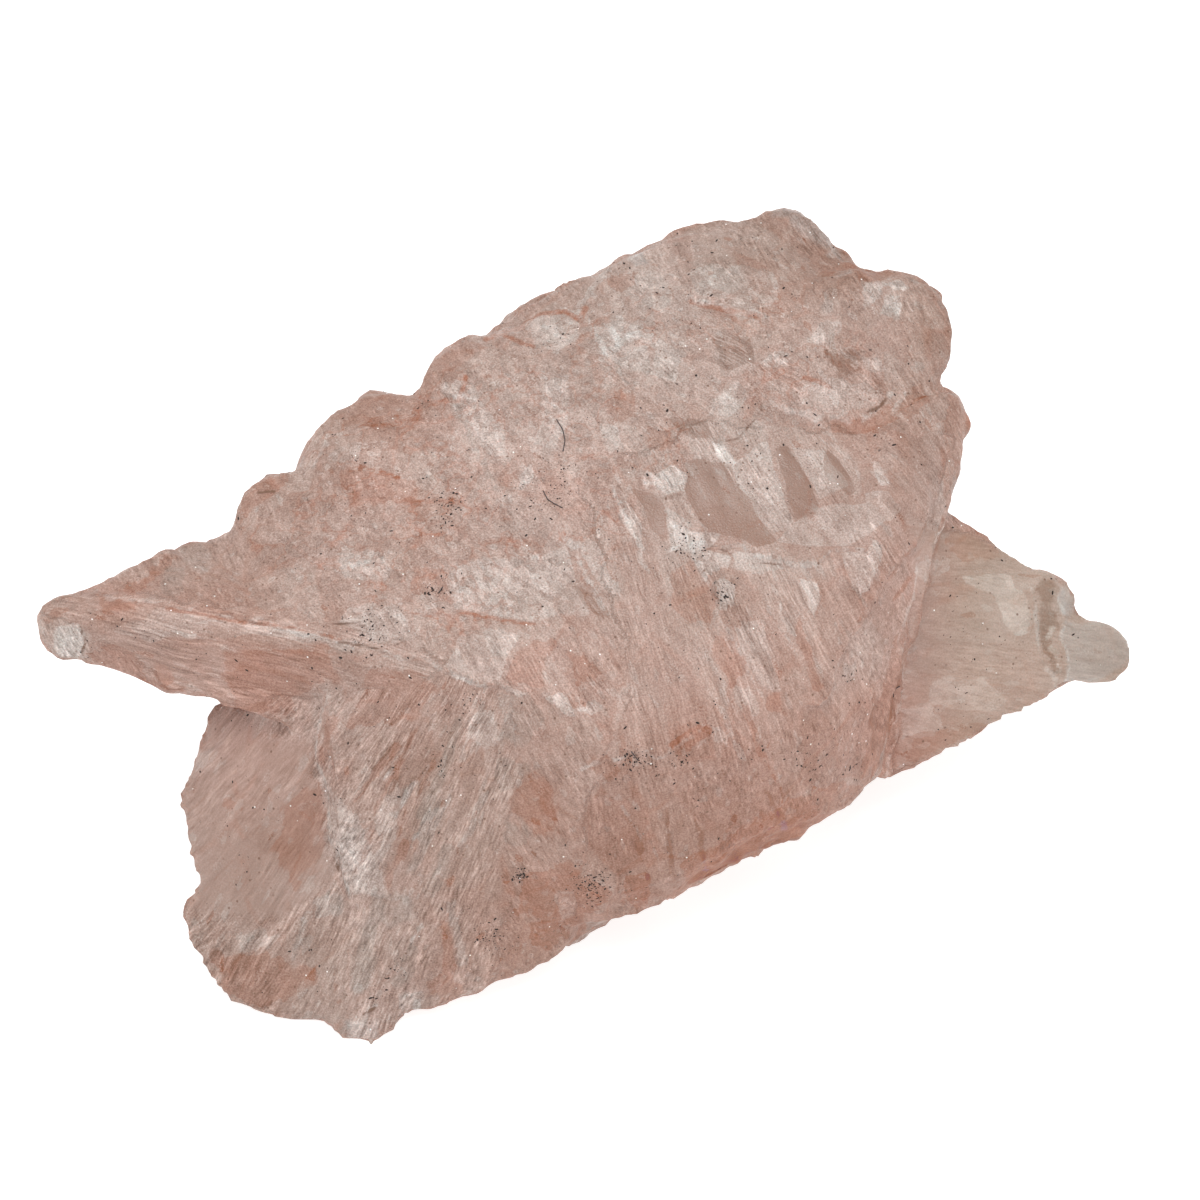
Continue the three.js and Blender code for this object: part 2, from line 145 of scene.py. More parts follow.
# Flat plates, veils and chips, each by its few corners.
PLATES = {
    "frost": {
        "horn tip chip": [
            (-24.8, -1.2), (-23.8, -1.0), (-23.4, -1.9),
            (-23.6, -2.6), (-24.2, -2.8), (-24.9, -2.1),
        ],
        "lump beside the plate": [
            (2.0, 5.9), (2.6, 5.7), (3.3, 6.2), (3.9, 5.6), (3.7, 4.8), (2.9, 4.6), (2.6, 5.1), (2.1, 5.2),
        ],
        "left ledge": [(3.1, 3.9), (4.1, 3.0), (5.6, 3.0), (5.3, 2.5), (4.4, 2.1), (3.2, 2.2)],
        "foot of the ledge": [(4.1, 2.0), (5.0, 2.2), (6.0, 1.9), (5.9, 1.3), (5.1, 1.3), (4.8, 0.9)],
        "dirty chip": [(5.2, 0.6), (5.7, 1.0), (6.1, 0.6), (6.0, -0.3), (5.6, -0.4), (5.4, 0.1)],
        "wedge": [(8.9, 1.1), (10.0, 0.9), (10.0, 0.1), (9.6, -0.9), (9.3, 0.0)],
        "tuft": [(10.9, 2.1), (12.1, 2.1), (12.5, 2.8), (12.8, 2.4), (12.6, 1.4), (12.1, 0.3), (11.5, 0.4)],
        "stained chip": [(-2.4, -4.4), (-1.9, -4.1), (-1.4, -4.6), (-1.2, -5.3), (-1.6, -5.2), (-2.0, -4.8)],
        "stained chip, right": [(-1.2, -5.0), (-0.3, -4.5), (0.3, -4.8), (-0.4, -5.3)],
        "knob facet, left": [(11.9, 14.4), (13.0, 14.5), (12.9, 13.9), (12.3, 13.5), (12.0, 13.4)],
        "knob facet, lower": [(12.6, 13.0), (13.1, 13.8), (13.6, 13.9), (13.6, 12.7), (13.1, 12.9)],
        "knob facet, right": [(13.1, 14.5), (13.7, 14.5), (13.9, 14.0), (13.3, 14.0)],
        "knob facet, small": [(13.9, 11.7), (14.3, 11.6), (14.4, 11.0)],
        "slab lump": [(7.3, 10.8), (7.9, 11.3), (8.6, 11.2), (8.5, 10.7), (7.7, 10.6)],
        "over the block": [(5.1, 7.4), (5.7, 7.0), (6.3, 6.1), (5.7, 6.2), (5.2, 6.6)],
        "sparkling flake": [(12.4, 6.4), (12.8, 6.2), (13.2, 5.3), (12.8, 5.2)],
        "white fleck": [(-3.3, 6.2), (-3.0, 5.8), (-3.2, 5.2), (-3.8, 5.0), (-3.7, 5.6)],
        "wing's bright edge": [(21.9, -1.0), (22.3, -0.6), (23.0, -0.5), (23.6, -0.9), (22.7, -1.0)],
    },
    "cream": {
        "block": [(6.0, 6.1), (7.6, 7.2), (7.9, 5.9), (8.6, 3.9), (8.8, 3.3), (7.9, 3.0), (6.9, 4.1)],
        "striated plate": [(8.7, 7.0), (10.2, 6.9), (11.3, 5.2), (10.0, 4.6), (9.3, 5.7)],
        "band under the blocks": [(8.7, 3.5), (9.7, 4.2), (12.0, 4.4), (12.9, 3.4), (11.2, 2.4), (8.0, 2.5)],
        "field under the plates": [(6.0, 2.1), (7.4, 2.0), (8.6, 1.4), (7.2, 1.1), (6.2, 1.3)],
        "fan of the sheaf": [
            (-12.6, -7.9), (-12.2, -10.0), (-11.9, -12.0), (-11.4, -13.5),
            (-9.6, -13.3), (-10.3, -11.6), (-11.2, -9.6),
        ],
        "heart of the fan": [
            (-9.8, -8.8), (-9.3, -8.2), (-8.8, -8.8), (-9.2, -10.6), (-9.9, -12.0), (-10.3, -10.0),
        ],
        "broad veil": [
            (-7.0, 1.3), (-5.4, 1.9), (-2.6, 2.1), (-1.5, 2.3),
            (-1.0, 0.6), (-0.4, -0.7), (-3.0, -0.9), (-6.4, -0.5),
        ],
        "slab over the sheaf": [
            (-6.3, -1.6), (-4.6, -1.3), (-3.4, -1.7), (-4.3, -2.8), (-4.4, -3.8), (-6.4, -3.8), (-7.0, -3.1),
        ],
        "pale streak": [
            (-0.9, 2.9), (-0.2, 2.6), (0.4, 1.2), (0.9, 0.4), (0.6, 0.1), (-0.3, 1.1), (-0.9, 2.1),
        ],
        "second pale streak": [(0.8, 4.5), (1.2, 4.5), (1.9, 3.2), (1.9, 2.6), (1.4, 2.9), (0.9, 3.9)],
        "third pale streak": [(0.0, 8.1), (0.8, 8.0), (0.9, 7.1), (0.5, 6.6), (0.1, 7.2)],
        "dirty veil": [(-11.6, -0.3), (-9.6, 0.0), (-8.8, -0.9), (-8.6, -1.9), (-10.3, -2.0), (-11.7, -1.1)],
        "upper facet": [
            (4.2, 15.0), (4.4, 13.8), (5.6, 13.4), (7.2, 13.1),
            (8.2, 13.8), (8.0, 15.0), (6.2, 15.3),
        ],
        "right slab": [
            (8.6, 8.9), (10.3, 8.4), (12.0, 8.6), (12.9, 9.2),
            (12.2, 9.8), (10.4, 10.0), (8.8, 9.7),
        ],
        "streaked veil": [
            (-0.3, 12.4), (0.9, 12.8), (2.4, 12.0), (3.9, 11.2),
            (3.4, 10.0), (1.8, 10.4), (0.4, 11.0),
        ],
        "left cell": [(-2.6, 10.2), (-1.5, 10.1), (-1.4, 8.2), (-1.9, 6.9), (-3.0, 6.9), (-2.7, 8.4)],
        "cell under the rim": [
            (-3.3, 12.7), (-2.4, 13.0), (-1.0, 12.6), (-0.9, 11.8), (-2.0, 11.2), (-3.0, 11.6),
        ],
        "upper left patch": [(-7.4, 9.8), (-6.0, 9.8), (-4.4, 7.6), (-4.0, 6.3), (-5.0, 6.6), (-6.4, 8.4)],
        "shoulder patch": [(-12.4, 6.8), (-11.0, 7.2), (-11.0, 6.3), (-12.2, 6.3)],
        "granular patch": [(-12.0, 2.2), (-10.4, 2.3), (-9.4, 1.5), (-9.9, 0.9), (-11.6, 1.0)],
        "horn streak": [
            (-21.6, -1.1), (-19.9, -0.4), (-18.0, -0.7), (-15.9, -1.0),
            (-15.9, -1.7), (-18.6, -1.6), (-20.4, -1.9),
        ],
        "horn's foot": [(-19.4, -4.2), (-18.6, -3.8), (-18.0, -4.3), (-18.5, -4.5)],
        "upper wing veil": [
            (16.5, 1.2), (18.8, 1.0), (19.4, 0.3), (19.6, -0.9),
            (19.2, -1.7), (18.3, -0.9), (18.1, 0.3), (17.0, 0.6),
        ],
        "lower wing veil": [
            (15.1, -3.8), (16.0, -3.4), (17.4, -3.6), (18.5, -4.6), (17.9, -5.1), (15.0, -4.8),
        ],
        "wing's root": [(13.7, -4.9), (15.2, -4.7), (15.6, -5.8), (14.6, -6.1), (13.7, -6.4)],
        "veil at the wing's root": [(14.2, 1.3), (15.0, 1.9), (15.9, 1.8), (15.7, 1.3), (14.8, 1.0)],
        "corner under the flake": [(12.0, 4.8), (13.1, 5.0), (13.7, 4.1), (13.4, 3.6), (12.6, 3.4)],
        "panel of the right sheaf": [
            (6.1, -1.2), (7.4, -0.9), (7.9, -2.6), (8.2, -4.1), (7.2, -3.9), (6.3, -2.3),
        ],
        "pale panes": [(6.1, -4.1), (6.9, -4.0), (7.3, -5.0), (6.9, -5.4), (6.4, -4.9)],
        "small pane": [(5.3, -6.0), (5.9, -6.2), (5.8, -6.6), (5.2, -6.5)],
        "speckled cell": [(11.0, -3.1), (11.6, -2.9), (11.7, -3.6), (11.2, -3.8)],
        "fleck under the knob": [(11.9, 10.9), (12.6, 11.1), (13.0, 10.5), (12.3, 10.3)],
        "blades above the tuft": [(9.1, 11.6), (9.9, 11.5), (11.0, 12.1), (11.0, 12.7), (10.2, 12.6)],
        "fleck by the corner": [(10.0, 13.0), (10.3, 13.7), (10.6, 13.5), (10.4, 12.9)],
        "centre patch": [(5.0, 8.4), (5.9, 8.3), (6.7, 9.3), (6.2, 10.1), (5.2, 9.3)],
        "low front pane": [(-2.2, -13.3), (-1.2, -13.3), (-1.1, -14.3), (-1.8, -14.6)],
        "low blade pane": [(-16.6, -15.2), (-15.2, -15.0), (-14.3, -15.2), (-15.2, -16.0), (-16.4, -15.9)],
        "low blade veil": [(-13.0, -13.6), (-12.0, -13.3), (-11.8, -14.4), (-12.8, -14.5)],
        "low blade edge": [(-18.5, -6.9), (-17.7, -6.8), (-17.6, -7.6), (-18.4, -7.8)],
        "low pane": [(-5.9, -5.2), (-4.9, -5.0), (-4.4, -6.4), (-5.2, -6.8), (-6.2, -6.2)],
        "foot pane": [(-9.2, -18.0), (-8.2, -17.8), (-8.3, -18.5), (-9.2, -18.7)],
    },
    "clear": {
        "large plate": [(3.9, 6.3), (5.5, 6.3), (6.6, 4.8), (8.1, 2.5), (7.0, 2.3), (4.7, 3.4), (3.8, 4.9)],
        "strip beside the block": [(7.9, 7.0), (8.5, 7.1), (10.0, 4.4), (9.8, 3.9), (8.8, 3.7), (8.3, 5.4)],
        "right plate": [(10.3, 6.9), (11.0, 6.4), (11.6, 5.0), (11.3, 4.8), (10.2, 5.6)],
        "strip beside the veil": [
            (-1.2, 0.7), (-0.6, 0.9), (0.1, 0.1), (0.5, -0.8), (0.0, -0.9), (-0.9, -0.1),
        ],
        "centre band": [(1.4, 5.1), (2.4, 4.8), (3.1, 4.0), (3.1, 2.7), (2.3, 3.3), (1.9, 4.3)],
        "brown field": [(5.0, 12.0), (6.8, 11.9), (7.0, 10.8), (5.6, 10.5)],
        "knob window": [(10.2, 11.2), (11.6, 11.3), (12.0, 10.5), (10.8, 10.2)],
        "rim window": [(2.9, 8.3), (4.9, 8.0), (5.1, 7.4), (3.8, 7.4)],
    },
    "grey": {
        "window of the sheaf": [(-10.4, -13.4), (-8.6, -13.4), (-8.3, -14.6), (-9.6, -14.9), (-10.6, -14.4)],
        "under the slab": [(-4.6, -4.3), (-3.2, -4.3), (-2.6, -5.4), (-3.4, -6.8), (-4.4, -6.2)],
        "strip beside the sheaf": [(-4.8, -7.1), (-3.1, -7.5), (-4.0, -8.7), (-4.7, -8.9)],
        "low front pane": [(-4.3, -10.1), (-3.3, -10.3), (-3.5, -11.4), (-4.4, -11.0)],
        "grey horn field": [(-19.8, 1.4), (-18.9, 1.6), (-19.0, 0.1), (-20.0, 0.3)],
    },
    "glass": {
        "wing tip": [
            (21.1, -1.0), (22.0, -1.0), (23.3, -0.8), (23.9, -1.3), (24.4, -2.5), (22.5, -3.7), (21.2, -4.0),
        ],
        "lobe over the notch": [(21.0, 0.5), (21.5, 0.4), (21.6, -0.2), (21.3, -0.7), (21.0, -0.6)],
        "crescent of the top rim": [
            (7.7, 17.5), (8.4, 17.9), (9.0, 17.7), (10.0, 17.2),
            (10.6, 16.5), (10.5, 15.9), (9.6, 16.5), (8.6, 17.2),
        ],
        "small crescent": [(10.6, 16.1), (11.0, 15.8), (11.0, 15.4), (10.5, 15.7)],
        "rim lens": [(1.2, 15.6), (1.7, 16.0), (2.2, 15.4), (1.7, 15.2)],
        "foot": [(-11.8, -19.2), (-10.0, -19.1), (-10.0, -20.2), (-11.6, -20.2)],
    },
    "rose": {
        "panel under the ledge": [
            (4.1, 1.9), (4.8, 0.9), (5.2, 0.5), (5.4, -0.3),
            (5.0, -1.0), (4.0, -1.0), (3.2, -0.3), (3.2, 0.9),
        ],
        "streak pit": [(5.2, -1.6), (6.0, -1.9), (6.9, -3.4), (6.4, -3.6), (6.0, -4.1), (5.0, -2.2)],
        "pink triangle": [(7.6, -4.3), (8.2, -4.2), (8.4, -5.2), (7.5, -4.9)],
        "junction band": [
            (13.8, -0.6), (14.1, -1.8), (13.8, -3.4), (13.5, -6.6),
            (13.5, -7.6), (12.0, -8.9), (12.1, -6.6), (13.0, -3.0),
        ],
        "lower right rim": [
            (4.4, -13.5), (8.0, -11.8), (11.0, -10.2), (12.2, -8.6), (11.2, -8.2), (8.4, -9.0), (6.0, -10.7),
            (3.6, -12.0),
        ],
        "right of the sheaf": [
            (-3.1, -7.7), (-2.4, -8.4), (-1.9, -10.0), (-3.1, -10.3),
            (-3.5, -9.8), (-4.4, -9.3), (-3.9, -8.6),
        ],
        "heart of the lower blade": [
            (-13.4, -8.5), (-12.7, -8.5), (-12.4, -9.6), (-12.5, -11.6),
            (-13.9, -13.3), (-14.9, -11.4), (-14.4, -9.6),
        ],
        "low blade": [
            (-17.7, -16.2), (-15.9, -16.0), (-13.0, -16.7), (-12.8, -17.5), (-14.9, -18.4), (-16.9, -18.0),
        ],
        "low blade spot": [(-17.1, -9.0), (-16.3, -9.1), (-16.6, -9.9), (-17.0, -9.8)],
        "horn underside": [
            (-17.0, -2.2), (-12.4, -2.2), (-12.0, -3.6), (-13.9, -4.2),
            (-14.0, -5.0), (-16.5, -4.9), (-17.2, -3.4),
        ],
        "wing top": [(15.5, 4.0), (16.6, 3.6), (17.4, 3.0), (18.2, 2.0), (16.4, 1.6), (15.6, 2.4)],
        "wing's lower rim": [
            (13.9, -7.4), (15.2, -7.0), (17.0, -6.1), (18.4, -5.6), (16.2, -5.8), (14.4, -6.3),
        ],
        "right rim": [(15.8, 9.3), (16.5, 9.3), (16.9, 8.4), (16.2, 5.0), (15.6, 4.0), (15.5, 6.0)],
        "right shelf": [(10.3, 8.1), (12.0, 8.4), (13.0, 9.0), (13.4, 8.2), (12.0, 7.6), (10.5, 7.5)],
        "rim patch": [(0.2, 14.8), (1.7, 14.9), (1.6, 14.3), (0.3, 14.2)],
        "square": [(-8.5, 1.6), (-7.1, 1.5), (-7.0, 0.1), (-8.6, 0.4)],
        "upper left patch": [(-11.8, 5.9), (-10.0, 5.9), (-8.4, 5.3), (-8.2, 4.2), (-9.6, 4.3), (-11.4, 4.2)],
        "left corner": [(-16.5, 3.3), (-16.2, 4.6), (-15.4, 5.8), (-14.3, 5.7), (-14.6, 5.0), (-15.6, 4.4)],
        "beside the slab": [
            (-3.8, -2.6), (-2.9, -1.9), (-2.0, -1.8), (-2.6, -3.0), (-2.5, -3.9), (-4.2, -3.7),
        ],
        "low front": [(-3.4, -12.4), (-1.4, -12.0), (0.6, -13.4), (-1.0, -14.8), (-3.8, -14.4)],
        "low right": [(1.1, -12.7), (2.2, -12.4), (2.2, -13.9), (1.0, -13.7)],
        "low left": [(-8.0, -17.5), (-6.6, -16.9), (-6.0, -17.8), (-7.0, -18.4)],
        "horn's lower edge": [(-23.4, -2.5), (-22.2, -2.1), (-20.6, -2.8), (-20.8, -3.8), (-22.6, -3.3)],
        "head of the sheaf": [(-10.4, -3.2), (-8.6, -3.1), (-7.2, -4.0), (-8.6, -5.6), (-11.6, -5.8)],
    },
    "stain": {
        "speckled patch": [(-9.4, 4.4), (-8.2, 5.0), (-6.6, 4.5), (-6.8, 3.8), (-8.6, 3.8)],
        "spot by the fleck": [(-4.4, 5.9), (-3.9, 5.8), (-3.9, 5.2), (-4.5, 5.2)],
        "brown spot": [(-1.9, 3.2), (-1.5, 3.1), (-1.4, 2.5), (-1.8, 2.3)],
        "orange spot": [(-0.7, -7.3), (0.4, -7.2), (0.9, -7.9), (0.3, -8.2), (-0.4, -7.8)],
        "wedge": [(3.0, -6.9), (4.4, -5.8), (5.0, -5.9), (4.9, -6.2), (4.0, -6.8)],
        "chip's heart": [(-1.4, -4.2), (-1.0, -4.0), (-0.8, -4.7), (-1.2, -4.9)],
        "over the chip": [(-1.6, -2.4), (-0.6, -2.4), (-0.2, -3.2), (-0.4, -3.7), (-1.0, -3.4), (-1.1, -2.8)],
        "horn top": [(-22.9, 0.3), (-21.0, -0.1), (-21.0, -0.6), (-22.5, -0.6)],
        "right gully": [(13.3, 8.4), (14.2, 8.3), (14.9, 9.0), (14.6, 9.7), (13.9, 9.4)],
        "knob neck": [(11.6, 14.9), (13.2, 14.9), (12.9, 14.5), (11.9, 14.3)],
        "centre": [(0.6, 9.6), (1.6, 9.5), (1.8, 8.4), (1.0, 8.0)],
        "under the rim window": [(2.2, 7.9), (3.2, 7.7), (3.3, 6.9), (2.4, 6.8)],
        "lower spot": [(-3.1, -10.0), (-2.0, -10.0), (-2.1, -10.6), (-2.9, -10.8)],
        "low front": [(-3.5, -14.8), (-2.3, -14.6), (-1.4, -15.2), (-2.4, -15.9), (-3.2, -15.6)],
    },
}

# Thin pink or brown lines where two crystals meet: half width, then the places it passes.
SEAMS = [
    (0.13, [(-5.2, 11.9), (-3.6, 12.4), (-2.7, 13.1), (-1.6, 13.1), (-0.9, 12.7), (-0.6, 13.3)]),
    (0.10, [(4.1, 13.6), (5.5, 13.2), (7.4, 12.9)]),
    (0.10, [(9.3, 10.1), (10.4, 9.7)]),
    (0.08, [(-6.4, -0.5), (-5.6, -0.7), (-3.0, -1.1)]),
    (0.08, [(-8.9, -0.5), (-7.4, -0.8)]),
    (0.08, [(-19.8, -0.4), (-17.0, -0.9), (-13.8, -1.3), (-11.8, -1.8)]),
    (0.10, [(3.2, -6.6), (4.4, -5.8), (5.0, -6.0)]),
    (0.08, [(14.0, 1.0), (13.4, 0.0)]),
    (0.08, [(-8.6, 9.4), (-7.9, 9.1), (-6.4, 9.0), (-6.1, 10.2)]),
    (0.08, [(-4.3, 12.0), (-3.0, 11.5)]),
    (0.07, [(-11.2, 6.1), (-10.0, 5.9), (-9.0, 5.5)]),
]
CRACKS = [
    (0.07, [(-11.9, -1.9), (-10.0, -2.2)]),
    (0.05, [(-12.0, -1.1), (-10.7, -1.2)]),
    (0.05, [(5.0, 2.5), (6.0, 2.1)]),
    (0.05, [(7.3, 1.7), (8.6, 1.5)]),
    (0.07, [(12.1, 8.5), (12.6, 8.7), (13.0, 9.1)]),
    (0.04, [(5.2, 7.2), (6.3, 7.4), (7.2, 8.4), (7.4, 9.1)]),
    (0.05, [(-23.7, -1.2), (-23.4, -2.0), (-23.6, -2.5)]),
    (0.07, [(-10.8, -18.9), (-10.2, -18.6)]),
    (0.05, [(-12.0, -12.1), (-11.9, -12.4)]),
    (0.05, [(-15.6, 4.9), (-14.8, 5.0)]),
]

# Ledges: height at the edge, how far back it dies away, and the edge, with its high side on the left.
LEDGES = [
    (0.15, 2.5, [(-7.8, -2.7), (-7.0, -3.2), (-6.4, -3.8), (-4.4, -4.0), (-2.8, -4.4)]),
    (0.15, 2.0, [(-1.0, -7.7), (1.0, -7.2), (3.2, -6.7), (4.6, -5.9), (5.6, -6.1)]),
    (0.17, 2.5, [(3.2, 2.2), (5.0, 2.6), (6.2, 2.2), (7.4, 1.9), (8.7, 1.5), (10.2, 2.1), (12.0, 2.3)]),
    (0.15, 2.0, [(7.8, 8.8), (10.3, 8.2), (12.0, 8.4), (13.2, 9.2)]),
    (0.12, 2.0, [(3.8, 13.9), (5.5, 13.2), (7.8, 12.9)]),
    (0.12, 1.5, [(-0.6, 13.2), (-0.9, 12.7), (-1.6, 13.1), (-2.7, 13.1), (-3.6, 12.4), (-5.2, 11.9)]),
    (0.12, 2.0, [(-9.0, 9.5), (-7.9, 9.1), (-6.0, 9.0)]),
    (0.06, 2.0, [(-23.0, 0.2), (-17.0, -0.8), (-12.0, -1.7), (-7.4, -2.9)]),
    (0.18, 2.0, [(3.4, 3.4), (4.2, 2.0), (5.2, 0.6), (5.4, -0.3), (6.0, -2.0), (7.2, -4.2)]),
    (0.07, 1.5, [(12.9, -8.2), (13.3, -6.5), (13.8, -3.5), (13.7, -1.0), (14.4, 1.6)]),
    (0.18, 0.8, [(20.9, -4.1), (20.3, -2.6), (19.9, -1.0), (19.7, 0.6)]),
    (0.15, 0.8, [(21.3, -3.9), (21.1, -1.2), (21.0, 0.4)]),
    (0.11, 1.5, [(-1.6, 2.8), (-0.6, 1.2), (0.4, -0.8)]),
    (0.09, 1.2, [(0.6, 5.0), (1.6, 2.8), (2.2, 1.4)]),
    (0.22, 2.5, [(-12.7, -5.4), (-12.9, -6.6), (-12.5, -8.0), (-12.3, -9.6), (-12.0, -11.2), (-11.4, -13.6)]),
]
RAISED = {
    "lump beside the plate": 0.16,
    "stained chip": 0.16,
    "dirty chip": 0.10,
    "tuft": 0.12,
    "wedge": 0.10,
    "left cell": 0.10,
    "horn tip chip": -0.06,
}

# Soft light and dark clouds, partly painted light and shade: how strong each size of lump is, then the
# ones with a place of their own: across, up, radius, how much lighter, how much pinker. The lit and shaded
# ones, and those under the horn, under the crest and on the low front, are painted light and painted shade.
CLOUD_SIZES = {5.5: 0.014, 2.4: 0.018, 1.1: 0.020}
CLOUDS_AND_PAINTED_LIGHT = {
    "milky crown": (0.0, 11.5, 6.0, 0.010, -0.10),
    "milky top": (3.0, 13.8, 1.8, 0.050, -0.15),
    "clear rim": (-0.6, 14.4, 1.8, -0.050, 0.0),
    "clear top corner": (7.5, 16.5, 3.2, -0.055, -0.10),
    "pale slab": (7.0, 9.5, 3.5, 0.045, -0.06),
    "rosy knob": (15.0, 12.6, 2.4, -0.075, 0.0),
    "milky shoulder": (-4.0, 6.0, 4.5, 0.068, -0.02),
    "clear shoulder rim": (-9.4, 9.8, 2.8, -0.080, 0.14),
    "blushing shoulder": (-10.0, 5.0, 2.2, 0.045, 0.08),
    "pale left": (-13.2, 2.3, 2.6, 0.055, -0.06),
    "milky middle": (-2.0, 1.5, 3.5, -0.015, -0.06),
    "dark horn top": (-22.0, -0.2, 1.3, -0.040, 0.16),
    "horn": (-18.0, -2.8, 4.0, -0.030, 0.30),
    "rosy centre": (2.0, -3.0, 5.0, 0.025, 0.08),
    "shaded pit": (4.8, 0.0, 2.0, -0.075, -0.10),
    "rosy sheaf": (9.0, -4.5, 4.5, 0.020, 0.16),
    "lit low sheaf": (6.0, -6.7, 2.5, 0.045, 0.04),
    # Pinker with the stone's own colour, and darker with painted shade on the low front that faces away from
    # the light.
    "rosy shaded low front": (4.5, -11.5, 6.0, -0.085, 0.24),
    "rosy rim": (8.5, -10.5, 3.0, -0.050, 0.10),
    "rosy corner": (13.6, -5.8, 2.8, 0.000, 0.38),
    "rosy junction": (14.0, 0.9, 2.5, 0.022, 0.32),
    "milky wing": (19.8, -1.2, 4.0, 0.090, 0.04),
    "milky low wing": (16.8, -5.0, 2.2, 0.055, 0.10),
    "beige sheaf": (-7.0, -9.0, 4.0, -0.040, 0.0),
    "milky head": (-10.0, -4.0, 2.0, 0.080, 0.0),
    "lit fan": (-11.3, -11.4, 1.3, 0.125, -0.08),
    "pale foot": (-10.0, -13.6, 1.8, 0.045, 0.0),
    "lit foot": (-10.6, -19.0, 1.6, 0.085, 0.0),
    # Painted light that lifts the shade under the horn.
    "lit under the horn": (-16.4, -5.6, 1.5, 0.050, 0.20),
    "rosy blade": (-15.8, -7.5, 4.0, 0.045, 0.12),
    "dark heart": (-13.9, -10.8, 2.0, -0.040, 0.0),
    "clear low left": (-13.0, -15.6, 4.6, -0.022, -0.12),
    "low front shade": (-3.6, -15.6, 3.0, -0.080, 0.20),
    "rosy lower sheaf": (-2.0, -10.5, 3.0, -0.010, 0.12),
    "lit shoulder": (-6.6, 8.2, 1.8, 0.055, 0.04),
    "pale horn top": (-19.0, 2.0, 1.8, -0.020, -0.18),
    "rosy crest": (-1.4, 5.0, 1.8, 0.020, 0.16),
    "rosy shelf": (11.5, 8.0, 1.8, 0.0, 0.14),
    "wing's foot": (19.6, -4.2, 2.0, 0.0, 0.18),
    "wing's middle": (17.4, -3.0, 1.8, 0.018, 0.08),
    "below the crest": (-2.8, -4.2, 2.6, 0.010, 0.14),
    "sheaf's head": (-7.0, -4.6, 1.6, 0.0, 0.14),
    "lit dirt": (-10.4, -1.0, 1.4, 0.020, 0.0),
    "lit top right": (11.0, 11.0, 1.8, 0.024, 0.0),
    "beige low sheaf": (-9.2, -9.8, 1.4, -0.022, 0.0),
    "rosy top": (8.4, 13.6, 1.8, 0.0, 0.14),
    "lit low middle": (-6.2, -13.0, 2.0, 0.022, 0.0),
    "horn tip": (-24.2, -2.0, 0.8, 0.130, -0.20),
    "bright knob": (12.8, 13.7, 0.9, 0.070, -0.05),
    "lit centre": (2.2, 8.4, 2.0, 0.030, 0.0),
    "lit streaks": (2.0, -0.6, 1.8, 0.035, 0.0),
    "shaded sheaf edge": (11.2, -6.2, 2.2, -0.045, 0.02),
    "shaded ledge": (9.5, 1.6, 2.4, -0.025, 0.0),
    "shaded blade": (-16.2, -10.4, 2.2, -0.028, 0.0),
    "right rim": (14.2, 6.6, 2.4, -0.010, 0.0),
    "pink slab": (-7.5, 0.6, 2.2, 0.018, 0.0),
    "pale plates": (8.5, 5.5, 3.0, 0.016, 0.0),
    "lit bend": (-13.0, -13.4, 1.6, 0.040, 0.0),
    "milky horn": (-22.0, -1.6, 1.6, 0.022, 0.0),
    "top edge": (7.5, 17.2, 1.6, 0.020, -0.04),
    "beige corner": (10.8, 14.6, 2.2, -0.066, -0.05),
    # Painted shade under the overhang of the crest.
    "shaded under the crest": (-7.4, -2.6, 2.0, -0.022, -0.02),
    "lit below the slab": (-3.6, -4.2, 1.6, 0.024, 0.0),
}

# Where the crystals run together in sheaves: the outline, the place they fan out from, and the
# way they run from there, in degrees anticlockwise from +X.
SHEAVES = {
    "horn": {
        "outline": [(-26, 0), (-22, 0.3), (-12, -1.0), (-7, -2.8), (-7.5, -3.4), (-12.5, -4.2), (-17, -5.2)],
        "root": (10.0, -8.0),
        "heading": 167.0,
        "combed": 0.7,
    },
    "left sheaf": {
        "outline": [
            (-21, -5), (-12.5, -4.2), (-7, -3.4), (-4, -4.2),
            (-3.5, -7.5), (-4.5, -12), (-5, -21), (-21, -21),
        ],
        "root": (6.0, 17.5),
        "heading": 241.5,
        "combed": 0.85,
    },
    "right sheaf": {
        "outline": [
            (-1, 6), (5, 8), (16, 7.5), (14, -1), (13.3, -8),
            (4, -15), (-1, -15.5), (-0.5, -9), (1.5, -4),
        ],
        "root": (-8.0, 33.0),
        "heading": -65.5,
        "combed": 0.50,
    },
    "wing": {
        "outline": [(14, 4), (18, 2.5), (22, 2), (25, -1), (25, -4), (21, -5), (13.3, -8), (14, -1)],
        "root": (-12.0, 3.0),
        "heading": -9.0,
        "combed": 0.12,
    },
}
SMOOTH_BLADE = [
    (-17.5, -5.2), (-13.4, -6.6), (-12.8, -8.4), (-12.4, -10.6),
    (-12.2, -12.6), (-14.4, -14.6), (-20, -14), (-21, -8),
]
# Where flat cleaved plates lie side by side with clean edges.
PLATED = [(-2.0, -0.4), (-1.2, 5.4), (3.0, 6.8), (6.0, 8.4), (12.5, 8.0), (13.8, 3.2), (9.0, 1.6), (2.5, 1.6)]
GRAINY_HEADING = -60.0  # the way the crystals of the upper face lie
GRAINY = [(-16.5, 3.4), (-15, 0.5), (-6.5, -2.2), (0, 1), (5.4, 8.4), (13, 9), (12, 14), (0, 14), (-14, 7)]

